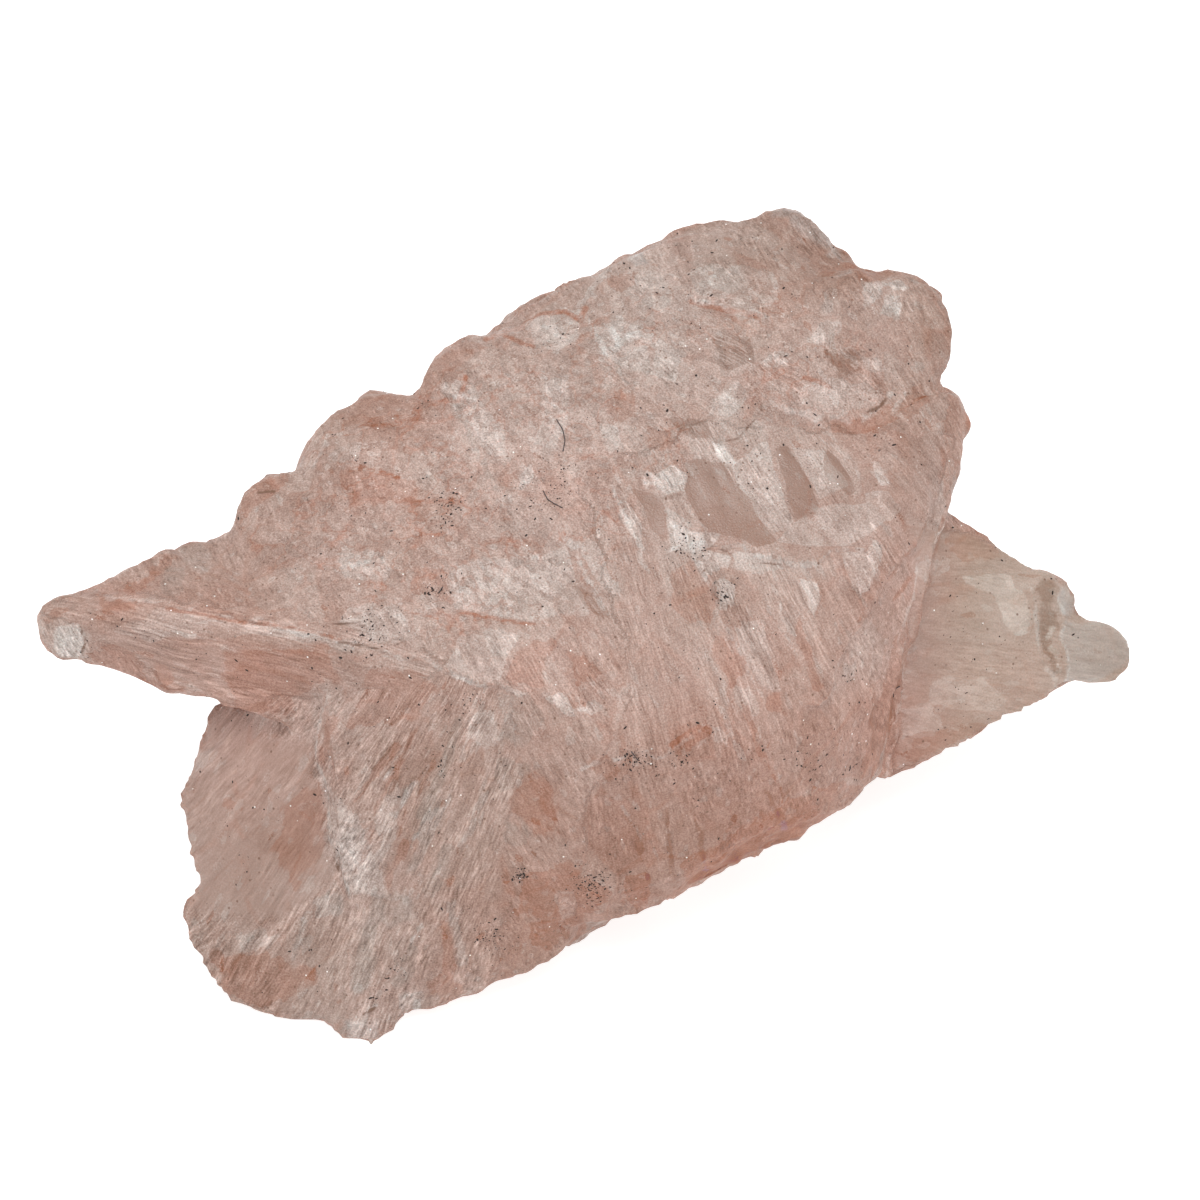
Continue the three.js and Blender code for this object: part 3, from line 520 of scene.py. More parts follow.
# Dirt: across, up, radius of the cluster, specks that stand out in a square millimetre.
DIRT = [
    (1.2, -7.4, 0.6, 18), (2.1, -7.3, 0.35, 22), (3.5, -7.3, 0.3, 24), (-3.7, -12.5, 0.22, 70),
    (-0.4, -13.0, 0.6, 26), (-5.1, -15.3, 0.55, 22), (9.7, -7.3, 0.5, 8), (4.5, -9.3, 0.3, 12),
    (-7.4, 0.6, 0.45, 26), (-7.4, -7.2, 0.6, 7), (-9.2, -16.6, 0.3, 14), (-10.0, -18.1, 0.5, 10),
    (3.6, 2.4, 0.6, 12), (4.5, 2.3, 0.4, 8), (5.6, 0.4, 0.4, 22), (8.8, 14.0, 0.2, 14),
    (-10.9, 6.4, 0.4, 8), (-7.0, 4.3, 0.7, 20), (-2.4, 5.3, 1.0, 12), (-11.2, 4.4, 0.5, 6),
    (-10.6, -1.3, 0.8, 7), (-11.0, -2.0, 0.5, 10), (6.6, 8.8, 0.6, 6), (-5.9, -4.8, 0.35, 14),
    (11.3, -3.4, 0.4, 10), (12.6, 6.9, 0.5, 8), (11.5, -7.7, 0.3, 10), (-1.8, 11.6, 0.6, 5),
]
DIRT_EVERYWHERE = 1.7  # in the same measure, where there is no cluster
GRAINS_TO_A_SPECK = 2.6  # in a cluster, for each speck that stands out

LINT = {
    "long hair": [(-2.0, 8.3), (-1.7, 7.8), (-1.6, 7.3), (-1.7, 6.8)],
    "curled hair": [(-2.6, 5.0), (-2.4, 4.6), (-2.1, 4.4), (-1.7, 4.2)],
    "wing hair": [(13.9, -4.0), (13.7, -4.1), (13.6, -4.3), (13.6, -4.5)],
    "grit hair": [(-7.3, 0.3), (-7.1, 0.6)],
    "short hair": [(1.7, -7.2), (1.4, -6.8)],
}

# ---- measuring on the stone ----

OUTWARD = Vector((0.0, -RISE, RUN))
# Large numbers that stir a corner's own numbers into a random one.
STIRRERS = (73856093, 19349663, 83492791, 26544357)
LAST_STIRRER = 1274126177
WORD = 0xFFFFFFFF
LUCK_STEPS = 0xFFFF
CELL_WANDER = 0.45  # how far a cell's middle may stray, in cells
OWNER_SEED = 10  # from a cell's seed to the seeds of its own four values


def to_face(points):
    """Places on the face, in the stone's millimetres, for points in the same millimetres."""
    x, y, z = points.T
    rise = z - FACE_HEIGHT
    return np.stack([x, y * RUN + rise * RISE, rise * RUN - y * RISE], axis=1)


def from_face(across, up, out):
    """The point, in the stone's millimetres, for a place on the face."""
    return Vector((across, up * RUN - out * RISE, FACE_HEIGHT + up * RISE + out * RUN))


def drawn(places):
    """Places as they fall on the drawing of the face, seen from VIEW_DISTANCE."""
    return places[:, :2] * (VIEW_DISTANCE / (VIEW_DISTANCE - places[:, 2:3]))


def ramp(values, low, high):
    """0 at low and 1 at high, eased in between."""
    share = np.clip((values - low) / (high - low), 0.0, 1.0)
    return share * share * (3.0 - 2.0 * share)


def fixed_luck(corners, seed):
    """A fixed random value from -1 to 1 for each corner of a grid."""
    x, y, z = corners.T
    mixed = (x * STIRRERS[0]) ^ (y * STIRRERS[1]) ^ (z * STIRRERS[2]) ^ (seed * STIRRERS[3])
    mixed = ((mixed ^ (mixed >> 13)) * LAST_STIRRER) & WORD
    mixed = (mixed ^ (mixed >> 16)) & LUCK_STEPS
    return mixed / (LUCK_STEPS / 2) - 1.0


def several_lucks(corners, seed, count):
    """That many fixed random values for each corner, side by side."""
    return np.stack([fixed_luck(corners, seed + k) for k in range(count)], axis=1)


def lumps(places, size, seed):
    """Smooth irregular values from -1 to 1, with lumps of the given size."""
    cells = places / size
    corner = np.floor(cells).astype(np.int64)
    ease = ramp(cells - corner, 0.0, 1.0)
    total = np.zeros(len(places))
    for step in np.ndindex(2, 2, 2):
        weight = np.prod(np.where(step, ease, 1.0 - ease), axis=1)
        total += weight * fixed_luck(corner + step, seed)
    return total


def paired_lumps(places, size, seeds):
    """Two sets of lumps, for moving a place across and up."""
    return np.stack([lumps(places, size, seed) for seed in seeds], axis=1)


def facets(places, size, seed):
    """Angular cells: the way from each cell's middle, its four random values, how near its border is."""
    cells = places / size
    home = np.floor(cells).astype(np.int64)
    nearest = np.full(len(places), np.inf)
    second = np.full(len(places), np.inf)
    offset = np.zeros((len(places), 3))
    owner = np.zeros((len(places), 3), np.int64)
    for step in np.ndindex(3, 3, 3):
        corner = home + step - 1
        middle = corner + 0.5 + CELL_WANDER * several_lucks(corner, seed, 3)
        distance = np.linalg.norm(cells - middle, axis=1)
        closer = distance < nearest
        second = np.where(closer, nearest, np.minimum(second, distance))
        nearest = np.where(closer, distance, nearest)
        offset = np.where(closer[:, None], (cells - middle) * size, offset)
        owner = np.where(closer[:, None], corner, owner)
    return offset, several_lucks(owner, seed + OWNER_SEED, 4), (second - nearest) * size / 2.0


def blade_distance(spots, blade):
    """Distance to one blade, negative inside it."""
    x0, y0, first_width, x1, y1, last_width = blade
    start, end = np.array((x0, y0)), np.array((x1, y1))
    axis = end - start
    along = np.clip(((spots - start) @ axis) / (axis @ axis), 0.0, 1.0)
    half_width = first_width + along * (last_width - first_width)
    return np.linalg.norm(spots - start - along[:, None] * axis, axis=1) - half_width


def line_distance(spots, line):
    """Distance to a line, the side of it (1 is left, -1 right), and the share of it walked."""
    legs = [(np.array(start), np.subtract(end, start)) for start, end in zip(line, line[1:])]
    whole = sum(np.hypot(*leg) for _, leg in legs)
    nearest = np.full(len(spots), np.inf)
    side = np.zeros(len(spots))
    share = np.zeros(len(spots))
    walked = 0.0
    for start, leg in legs:
        length = np.hypot(*leg)
        offset = spots - start
        along = np.clip((offset @ leg) / length**2, 0.0, 1.0)
        distance = np.linalg.norm(offset - along[:, None] * leg, axis=1)
        closer = distance < nearest
        nearest = np.where(closer, distance, nearest)
        side = np.where(closer, np.sign(leg[0] * offset[:, 1] - leg[1] * offset[:, 0]), side)
        share = np.where(closer, (walked + along * length) / whole, share)
        walked += length
    return nearest, side, share


def outline_distance(spots, outline):
    """Distance to a closed outline, negative inside it."""
    closed = outline + outline[:1]
    within = np.zeros(len(spots), bool)
    for (x0, y0), (x1, y1) in zip(closed, closed[1:]):
        if y0 != y1:
            crosses = (y0 > spots[:, 1]) != (y1 > spots[:, 1])
            edge = x0 + (spots[:, 1] - y0) * (x1 - x0) / (y1 - y0)
            within ^= crosses & (spots[:, 0] < edge)
    distance = line_distance(spots, closed)[0]
    return np.where(within, -distance, distance)


def inside(spots, outline, softness):
    """1 inside a closed outline and 0 outside it, eased over softness at its edge."""
    return ramp(outline_distance(spots, outline), softness, -softness)


def bell(spots, across, up, radius):
    """1 at a place on the face, dying away softly at a radius round it."""
    distance = np.hypot(spots[:, 0] - across, spots[:, 1] - up)
    return np.exp(-((distance / radius) ** 2))


def sight(spots, degrees):
    """How far each spot lies ahead in a direction, and how far aside to its left."""
    heading = math.radians(degrees)
    ahead = spots @ (math.cos(heading), math.sin(heading))
    aside = spots @ (-math.sin(heading), math.cos(heading))
    return ahead, aside


# ---- the stone's skin ----

DOUBLED = 0.001  # corners of the solid this close are one
FAR = 9.0  # the distance of a patch that is nowhere near
SEEN = 0.15  # how squarely a surface has to look out to be drawn on, where 1 is fully square
FRONT_GATE = 4.0  # how fast what is drawn on the face stops on surfaces that turn away
# How squarely a surface looks out where each of these starts, and where it is full.
FRONT, EASED, CLOUDED_AND_LIT = (0.0, 0.35), (0.45, 0.80), (-0.1, 0.3)
FACING = (0.1, 0.6)  # the same for the end of the lumpy sides

# How far things stray from where they are drawn, and the size and seeds of the lumps they stray by.
EDGE_WANDER, PATCH_WANDER, SEAM_WANDER, CRACK_WANDER = 0.3, 0.15, 0.08, 0.06
SKIN_LUMPS, SKIN_SEEDS = 0.9, (5, 6)
FLOW_WANDER, FLOW_LUMPS, FLOW_SEEDS = 0.12, 1.6, (7, 8)

CELL_SHAPE = (1.0, 1.0, 0.6)  # drawn short outwards, so each cell reaches deep
PLATE_WIDTH, PLATE_TILT, PLATE_SEED = 1.7, 0.05, 60
CHIP_WIDTH, CHIP_TILT, CHIP_SEED = 0.62, 0.10, 80
CRYSTAL_WIDTH, CRYSTAL_SEED = 3.0, 100  # of the crystals that meet in pink seams in the grainy part
LEAST_TILT, TILT_BY_GRAIN, TILT_BY_TURN = 0.45, 0.55, 1.2  # in the sheaves, in the grain, on the sides
PLATE_EDGE, CHIP_EDGE = 0.35, 0.14  # over which they sink to their borders
FIBRE_SLANT = 0.25  # how much the fibres turn from plate to plate, more where it is grainy
PLATES_APART = 30.0  # keeps one plate's fibres from running on in the next
BLADE_STRETCH = 4.0  # how much longer than wide the blades of a sheaf are
GRAIN_STRETCH = 1.9
FLOW_APART = 40.0  # keeps one sheaf's pattern from repeating in the next
HIDDEN_GRAIN = 0.8  # how grainy the hidden sides are
SHEAF_EDGE, GRAINY_EDGE, BLADE_EDGE, PLATED_EDGE = 0.5, 0.9, 0.4, 0.4  # how softly each ends
COMBED_ELSEWHERE, COMBED_LESS = 0.5, 0.35  # outside the sheaves, and how much less where it is grainy
SMOOTH_WING, SMOOTH_LOW_BLADE = 0.70, 0.75  # how calm their colour is
CLEAN_PLATES = 0.8  # how much less torn the cleaved plates are
WING_ROOT = (13.5, 17.5)  # where across the wing takes its own colour

RIB_HEIGHT, RIB_SIZE, RIB_SHAPE, RIB_SEED = 0.03, 0.5, (1.5, 1.0, 1.0), 30
KNOBBLES = {2.2: 0.22, 0.9: 0.20, 0.45: 0.09}  # lumps on the sides: size and height
KNOBBLE_SEED = 33
LEDGE_BREAK, RAISED_BREAK = 0.12, 0.08  # half the width of their steep sides
CREVICE_DEPTH, CREVICE_WIDTH = 0.05, 0.10  # the width is beside the seam's own
BASE_START = 0.1  # height at which the relief starts

TONE, CLOUD_SEED = 0.318, 51  # how light the stone is, on average
DIRT_SIZE, DIRT_SPREAD, DIRT_SEED = 2.4, (-0.4, 0.9), 71
# On hidden sides each kind of patch has its own size and scarcity.
HIDDEN_PATCHES = {
    "frost": (1.4, 0.62),
    "cream": (3.2, 0.22),
    "clear": (2.8, 0.48),
    "grey": (3.0, 0.30),
    "rose": (3.6, 0.20),
    "stain": (1.7, 0.62),
}


def placed(name, data):
    """A new object in the scene."""
    thing = bpy.data.objects.new(name, data)
    bpy.context.scene.collection.objects.link(thing)
    return thing


def fine_skin():
    """The solid's skin as small even faces, in millimetres, with its facets worn down."""
    net = bmesh.new()
    net.from_mesh(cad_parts["morganite"].data)
    bmesh.ops.remove_doubles(net, verts=net.verts, dist=DOUBLED * MM)
    bmesh.ops.scale(net, vec=(1 / MM, 1 / MM, 1 / MM), verts=net.verts)
    mesh = bpy.data.meshes.new("morganite_mass")
    net.to_mesh(mesh)
    net.free()
    stone = placed("morganite_mass", mesh)
    remesh = stone.modifiers.new("even faces", "REMESH")
    remesh.mode = "VOXEL"
    remesh.voxel_size = SKIN_CELL
    soften = stone.modifiers.new("worn facets", "SMOOTH")
    soften.factor = PACE
    soften.iterations = SOFTENING
    coarse = made_plain(stone)
    stone.modifiers.clear()
    ease_folds(coarse)
    halve_faces(coarse, mesh)
    return stone


def ease_folds(mesh):
    """Smooths what looks out, and leaves the outline and the hidden sides alone."""
    points = read(mesh.vertices, "co", 3)
    ends = read(mesh.edges, "vertices", 2).astype(np.int64)
    start, end = np.concatenate([ends, ends[:, ::-1]]).T
    neighbours = np.bincount(start, minlength=len(points))
    share = PACE * ramp(read(mesh.vertex_normals, "vector", 3) @ OUTWARD, *EASED)
    for _ in range(EASING):
        middle = np.stack([np.bincount(start, points[end, axis]) for axis in range(3)], axis=1)
        points += share[:, None] * (middle / neighbours[:, None] - points)
    mesh.vertices.foreach_set("co", points.ravel())
    mesh.update()


def halve_faces(coarse, mesh):
    """The coarse skin with the faces that look out cut in four, as the new shape of a mesh."""
    net = bmesh.new()
    net.from_mesh(coarse)
    net.normal_update()
    seen = [edge for edge in net.edges if all(end.normal.dot(OUTWARD) > SEEN for end in edge.verts)]
    bmesh.ops.subdivide_edges(net, edges=seen, cuts=1, use_grid_fill=True)
    net.to_mesh(mesh)
    net.free()


def made_plain(thing):
    """The thing's mesh with its modifiers applied."""
    seen = bpy.context.evaluated_depsgraph_get()
    seen.update()
    return bpy.data.meshes.new_from_object(thing.evaluated_get(seen))


def read(collection, name, width):
    """A value of each member of a mesh's collection, as an array."""
    values = np.empty(len(collection) * width)
    collection.foreach_get(name, values)
    return values.reshape(-1, width)


def store(mesh, name, values):
    """Keeps a value or a vector for each vertex, for the material and the dirt."""
    kind = "FLOAT" if values.ndim == 1 else "FLOAT_VECTOR"
    field = mesh.attributes.new(name, kind, "POINT")
    field.data.foreach_set("value" if values.ndim == 1 else "vector", values.ravel())


def turned_away(lean):
    """How far a surface has turned away from what is drawn on the face, as a distance."""
    return FRONT_GATE * (SEEN - lean)


def patch_fields(at):
    """Distance to the nearest patch of each kind, drawn ones in front and scattered ones behind."""
    spots = at.drawing + PATCH_WANDER * at.wander
    gate = turned_away(at.lean)
    fields = {}
    for seed, (kind, plates) in enumerate(PLATES.items()):
        nearest = np.full(len(spots), FAR)
        for blades in SPLINTERS.get(kind, {}).values():
            for blade in blades:
                nearest = np.minimum(nearest, blade_distance(spots, blade))
        for outline in plates.values():
            nearest = np.minimum(nearest, outline_distance(spots, outline))
        nearest = np.maximum(nearest, gate)
        if kind in HIDDEN_PATCHES:
            size, scarcity = HIDDEN_PATCHES[kind]
            hidden = (scarcity - lumps(at.places, size, seed)) * size * 0.5
            nearest = np.minimum(nearest, np.maximum(hidden, -gate))
        fields[kind] = nearest
    return fields


def seam_field(at, seams, wander):
    """Distance to the edge of the nearest seam."""
    spots = at.drawing + wander * at.wander
    nearest = np.full(len(spots), FAR)
    for half_width, line in seams:
        nearest = np.minimum(nearest, line_distance(spots, line)[0] - half_width)
    return np.maximum(nearest, turned_away(at.lean))


def fan(spots, sheaf):
    """How far each spot lies from a sheaf's root, and how far round it."""
    ahead, aside = sight(spots - sheaf["root"], sheaf["heading"])
    return np.hypot(ahead, aside), np.arctan2(aside, ahead)


def crystal_flow(places, masks):
    """Places along, across and out of the crystals; along is drawn short, so cells lie as long blades."""
    spots = drawn(places) + FLOW_WANDER * paired_lumps(places, FLOW_LUMPS, FLOW_SEEDS)
    along, across = sight(spots, GRAINY_HEADING)
    flow = np.stack([along / GRAIN_STRETCH, across, places[:, 2]], axis=1)
    for order, (name, sheaf) in enumerate(SHEAVES.items()):
        reach, turn = fan(spots, sheaf)
        here = masks[name] > 0.5
        across = turn * float(np.mean(reach[here])) + FLOW_APART * (order + 1)
        flow[here] = np.stack([reach / BLADE_STRETCH, across, places[:, 2]], axis=1)[here]
    return flow


def fibre_flow(at):
    """The flow with each plate's fibres turned a little and set apart from its neighbours'."""
    fibres = at.flow.copy()
    fibres[:, 1] += at.plate_luck[:, 0] * (FIBRE_SLANT + at.grainy) * at.plate[:, 0]
    fibres += PLATES_APART * at.plate_luck[:, 1:2]
    return fibres


def ledge_relief(spots):
    """Crystal plates that stand over their neighbours at a sharp edge and sink into them behind it."""
    height = np.zeros(len(spots))
    for step, fade, line in LEDGES:
        distance, side, share = line_distance(spots, line)
        signed = distance * side
        rise = ramp(signed, -LEDGE_BREAK, LEDGE_BREAK) * np.exp(-np.maximum(signed, 0.0) / fade)
        height += step * rise * np.sin(np.pi * share) ** 0.5
    return height


def ledge_edges(spots):
    """Distance to the broken edge of the nearest ledge."""
    return np.min([line_distance(spots, line)[0] for _, _, line in LEDGES], axis=0)


def raised_relief(spots):
    """Small chips and cells that stand proud of the face or lie sunk in it."""
    height = np.zeros(len(spots))
    for plates in PLATES.values():
        for name in sorted(plates.keys() & RAISED.keys()):
            height += RAISED[name] * inside(spots, plates[name], RAISED_BREAK)
    return height


def crevice_relief(spots):
    """Grooves along the seams and cracks."""
    depth = np.zeros(len(spots))
    for half_width, line in SEAMS + CRACKS:
        distance = line_distance(spots, line)[0]
        depth = np.maximum(depth, np.exp(-((distance / (half_width + CREVICE_WIDTH)) ** 2)))
    return -CREVICE_DEPTH * depth


def cell_relief(cell, luck, border, edge):
    """Each cell's face tilted its own way, level at its border."""
    return np.sum(cell[:, :2] * luck[:, 2:], axis=1) * ramp(border, 0.0, edge)


def skin_relief(at):
    """How far each place stands out from the worn solid, none near the base."""
    relief = ledge_relief(at.spots) + raised_relief(at.drawing) + crevice_relief(at.drawing)
    relief = at.front * relief
    relief += RIB_HEIGHT * lumps(at.flow * RIB_SHAPE, RIB_SIZE, RIB_SEED)
    turned = 1.0 - ramp(at.lean, *FACING)
    for seed, (size, height) in enumerate(KNOBBLES.items()):
        relief += height * turned * lumps(at.places, size, KNOBBLE_SEED + seed)
    steeper = TILT_BY_GRAIN * np.maximum(at.grainy, turned) + TILT_BY_TURN * turned
    slope = PLATE_TILT * (LEAST_TILT + steeper)
    relief += slope * cell_relief(at.plate, at.plate_luck, at.plate_border, PLATE_EDGE)
    relief += CHIP_TILT * cell_relief(at.chip, at.chip_luck, at.chip_border, CHIP_EDGE)
    return relief * ramp(at.points[:, 2], BASE_START, BASE_BAND)


def clouds_and_painted_light(at):
    """How light and how pink each place is, from soft clouds of several sizes and the named ones, many of
    them painted light and shade.
    """
    tone = np.full(len(at.places), TONE)
    for seed, (size, swing) in enumerate(CLOUD_SIZES.items()):
        tone += swing * lumps(at.places, size, CLOUD_SEED + seed)
    blush = np.zeros(len(at.places))
    for across, up, radius, lighter, pinker in CLOUDS_AND_PAINTED_LIGHT.values():
        share = bell(at.drawing, across, up, radius) * ramp(at.lean, *CLOUDED_AND_LIT)
        tone += lighter * share
        blush += pinker * share
    return tone, blush


def dirt_density(at):
    """Specks to a square millimetre: thick in a few clusters, thin everywhere, none near the base."""
    density = DIRT_EVERYWHERE * ramp(lumps(at.places, DIRT_SIZE, DIRT_SEED), *DIRT_SPREAD)
    for across, up, radius, count in DIRT:
        density += GRAINS_TO_A_SPECK * count * bell(at.spots, across, up, radius) * (at.lean > 0.0)
    return density * (at.points[:, 2] > BASE_BAND)


def survey(mesh):
    """Where each place of the skin lies, how it is turned, and which crystals it belongs to."""
    at = SimpleNamespace()
    at.points = read(mesh.vertices, "co", 3)
    at.normals = read(mesh.vertex_normals, "vector", 3)
    at.places = to_face(at.points)
    at.lean = at.normals @ OUTWARD
    at.front = ramp(at.lean, *FRONT)
    at.wander = paired_lumps(at.places, SKIN_LUMPS, SKIN_SEEDS)
    at.drawing = drawn(at.places)
    at.spots = at.drawing + EDGE_WANDER * at.wander
    at.masks = {}
    for name, sheaf in SHEAVES.items():
        at.masks[name] = inside(at.spots, sheaf["outline"], SHEAF_EDGE) * at.front
    grainy_face = inside(at.spots, GRAINY, GRAINY_EDGE) * at.front
    at.grainy = np.maximum(grainy_face, HIDDEN_GRAIN * (1.0 - at.front))
    at.flow = crystal_flow(at.places, at.masks)
    at.plate, at.plate_luck, at.plate_border = facets(at.flow * CELL_SHAPE, PLATE_WIDTH, PLATE_SEED)
    at.chip, at.chip_luck, at.chip_border = facets(at.flow * CELL_SHAPE, CHIP_WIDTH, CHIP_SEED)
    _, at.crystal_luck, at.crystal_border = facets(at.places * CELL_SHAPE, CRYSTAL_WIDTH, CRYSTAL_SEED)
    return at


def skin_fields(at):
    """What the material and the dirt follow, by name."""
    tone, blush = clouds_and_painted_light(at)
    combing = np.max([at.masks[name] * sheaf["combed"] for name, sheaf in SHEAVES.items()], axis=0)
    low_blade = SMOOTH_LOW_BLADE * inside(at.spots, SMOOTH_BLADE, BLADE_EDGE) * at.front
    fields = {
        "seat": at.places,
        "flow": at.flow,
        "fibres": fibre_flow(at),
        "plate": at.plate_luck[:, 1],
        "ribbed": at.plate_luck[:, 3],
        "border": at.plate_border,
        "ledge": np.maximum(ledge_edges(at.spots), turned_away(at.lean)),
        "chip": at.chip_luck[:, 1],
        "crystal": at.crystal_luck[:, 0],
        "meeting": at.crystal_border,
        "combing": np.maximum(combing, COMBED_ELSEWHERE - COMBED_LESS * at.grainy),
        "torn": 1.0 - CLEAN_PLATES * inside(at.spots, PLATED, PLATED_EDGE) * at.front,
        "lean": at.lean,
        "grainy": at.grainy,
        "wing": at.masks["wing"] * ramp(at.spots[:, 0], *WING_ROOT),
        "smooth": np.maximum(low_blade, SMOOTH_WING * at.masks["wing"]),
        "tone": tone,
        "blush": blush,
        "seam": seam_field(at, SEAMS, SEAM_WANDER),
        "crack": seam_field(at, CRACKS, CRACK_WANDER),
        "dirt": dirt_density(at),
    }
    return fields | patch_fields(at)


def weathered_skin():
    """The skin with its relief, and with what the material and the dirt follow stored on it."""
    stone = fine_skin()
    mesh = stone.data
    at = survey(mesh)
    moved = at.points + at.normals * skin_relief(at)[:, None]
    inner, outer = np.array(LOW) / MM, np.array(HIGH) / MM
    mesh.vertices.foreach_set("co", np.clip(moved, inner, outer).ravel())
    mesh.update()
    for name, values in skin_fields(at).items():
        store(mesh, name, values)
    mesh.shade_smooth()
    return stone


# ---- materials ----

# Linear colours. The crystal's own colour is white haze plus this much pink.
PINKNESS = (0.116, -0.031, -0.085)
ROSINESS = (0.112, -0.044, -0.068)  # which way a patch pinker than the rest differs from it
ROSIEST = 0.55
WING_BEIGE = (-0.004, 0.012, -0.008)  # how the wing's own colour differs
BODY = 0.80  # how much light a surface of full haze gives back
DARKEST = (0.02, 0.01, 0.01)
CRACK_BROWN = (0.140, 0.062, 0.030)
# The colour of the painted glints.
PAINTED_GLINT = (0.95, 0.92, 0.88)

# Patterns in the crystal: the size of each, its detail, and its roughness if it isn't the plain one.
PLAIN_ROUGHNESS = 0.55
PATTERNS = {
    "sugar": (0.08, 1.0, 0.5),
    "marble": (0.9, 2.0, 0.6),
    "fibres": (0.22, 1.0, 0.8),
    "streaks": (0.42, 2.0, 0.65),
    "hairs": (0.10, 1.0, 0.5),
    "lines": (0.15, 0.0),
    "dashes": (0.11, 0.0),
    "combed": (1.6, 1.0, 0.5),
    "softness": (1.8, 0.0),
    "mildness": (2.6, 0.0),
    "veinlets": (1.3, 2.0, 0.6),
}
# How short each way along, across and out is drawn, so that a pattern lies long along the crystals.
RUNS = {
    "streaks": (0.25, 1.0, 0.25),
    "hairs": (0.35, 1.0, 0.35),
    "lines": (0.35, 1.0, 0.5),
    "dashes": (0.22, 1.0, 0.3),
}
SHARD_SIZE, BIT_SIZE, DOT_SIZE = 0.30, 0.24, 0.33
VEINLETS_APART = (40.0, 0.0, 0.0)  # keeps the veinlets from following the marble

# Where each mask starts and where it is full, then its values there if they aren't 0 and 1.
MASKS = {
    "off border": (0.08, 0.25),
    "ribbed": (-0.6, 0.9),
    "lines": (0.34, 0.66),
    "combed": (0.38, 0.60, 0.60, 1.5),
    "softness": (0.46, 0.60, 0.01, 0.08),
    "glossy where torn": (0.2, 1.0, 1.0, 0.3),
    "calm": (0.0, 1.0, 1.0, 0.30),
    "veinlet": (0.035, 0.005),
    "veinlets where mild": (0.35, 0.6),
    "border": (0.07, 0.01),
    "border where marbled": (0.40, 0.62),
    "meeting": (0.10, 0.02),
    "flake": (0.90, 0.94),
    "pit": (0.17, 0.13),
    # Painted shade on the rim where a surface turns edge-on to the face.
    "edge on": (0.55, 0.10),
    "broken": (0.16, 0.05),
    "broken where marbled": (0.40, 0.54),
    "light dash": (0.68, 0.76),
    "dark dash": (0.32, 0.24),
    "painted_glint": (0.15, 0.08),
    "spark by luck": (0.93, 0.95),
    "mote": (0.25, 0.10),
    "mote by luck": (0.72, 0.95),
    "cream by shard": (0.1, 0.9, 0.045, 0.095),
    "frost by shard": (0.1, 0.9, 0.08, 0.18),
    "polish": (0.0, 1.0, 0.50, 0.34),
    "line height": (0.0, 1.0, 0.04, 0.005),
}

# How much each kind of patch frays, and how soft its edge is where that is its own.
FRAYED = {
    "cream": 1.0,
    "clear": 1.0,
    "grey": 1.0,
    "rose": 1.2,
    "stain": 1.3,
    "frost": 1.0,
    "glass": 0.4,
    "seam": 0.30,
    "crack": 0.20,
}
EDGE_SOFTNESS = {"frost": 0.06, "glass": 0.15, "seam": 0.05, "crack": 0.04}
LEAST_SOFTNESS = 0.02
FRAY_BY_SHARD, FRAY_BY_CHIP, FRAY_BY_MARBLE, FRAY_BY_STREAKS = 0.12, 0.06, 0.30, 0.7

# How much lighter and how much pinker each thing is that lies in or on the veils. Cream, frost and
# flakes have their lightness from their shards and from the grain.
TINTS = {
    "cream": (None, -0.16),
    "clear": (-0.090, 0.0),
    "meeting": (-0.050, 0.25),
    "grey": (-0.010, -0.18),
    "rose": (-0.045, 0.20),
    "stain": (-0.055, 0.14),
    # The glass tips are clear crystal; their lightness is painted light that stands for light coming through
    # them.
    "glass": (0.130, -0.16),
    "frost": (None, -0.25),
    "seam": (-0.090, 0.40),
    "veinlet": (-0.050, 0.22),
    "flake": (None, -0.12),
    "pit": (-0.070, 0.16),
    "border": (-0.030, 0.15),
    "broken": (0.120, -0.20),
    # Painted shade: darker and pinker where the surface turns edge-on to the face.
    "edge on": (-0.05, 0.20),
}
FLAKE_LIGHTNESS = (0.040, 0.070)  # in the sheaves, and where it is grainy
MOTTLE_BY_PLATE, MOTTLE_BY_MARBLE, MEETING_WANDER = -0.10, -0.35, 0.25
BIT_BY_SUGAR, BROKEN_BY_FRAY = 0.15, 0.5

# How strongly each pattern thickens and thins the haze. A pair is for the sheaves and for the grain.
STRENGTH = {
    "lines": (0.24, 0.08),
    "sugar": (1.25, 1.45),
    "shard": (0.12, 0.30),
    "hairs": 1.5,
    "fibres": 0.32,
    "chip": 0.08,
    "plate": 0.11,
    "crystal": 0.05,
    "marble": 0.20,
    "streaks": 1.2,
    "dashes": 0.28,
}
CRACK_DEPTH, MOTE_DEPTH = 0.85, 0.8  # how far they take on their brown
FROST_ROUGHER, GLASS_SMOOTHER = 0.15, 0.22
BODY_CLARITY, CLEAR_CLARITY, WING_CLARITY, GLASS_CLARITY = 0.03, 0.08, 0.10, 0.15
CREAM_CLOUD = 0.7  # how far a cream patch hides what is clear under it
SUGAR_HEIGHT, BUMP_STRENGTH = 0.04, 0.5
GLOW = {"Subsurface Weight": 0.2, "Subsurface Radius": (1.0, 0.55, 0.42), "Subsurface Scale": 1.0 * MM}
BERYL_IOR = 1.58
MIXED_COLOURS = (6, 7)  # the mix node's sockets for them


class Nodes:
    """Adds nodes to a tree and links them."""

    def __init__(self, tree):
        self.tree = tree

    def add(self, kind, inputs, output=0, **settings):
        """A node with its settings and inputs, of which one output is handed back."""
        node = self.tree.nodes.new(kind)
        for name, value in settings.items():
            setattr(node, name, value)
        for socket, value in inputs.items():
            if isinstance(value, bpy.types.NodeSocket):
                self.tree.links.new(value, node.inputs[socket])
            else:
                node.inputs[socket].default_value = value
        return node.outputs[output]


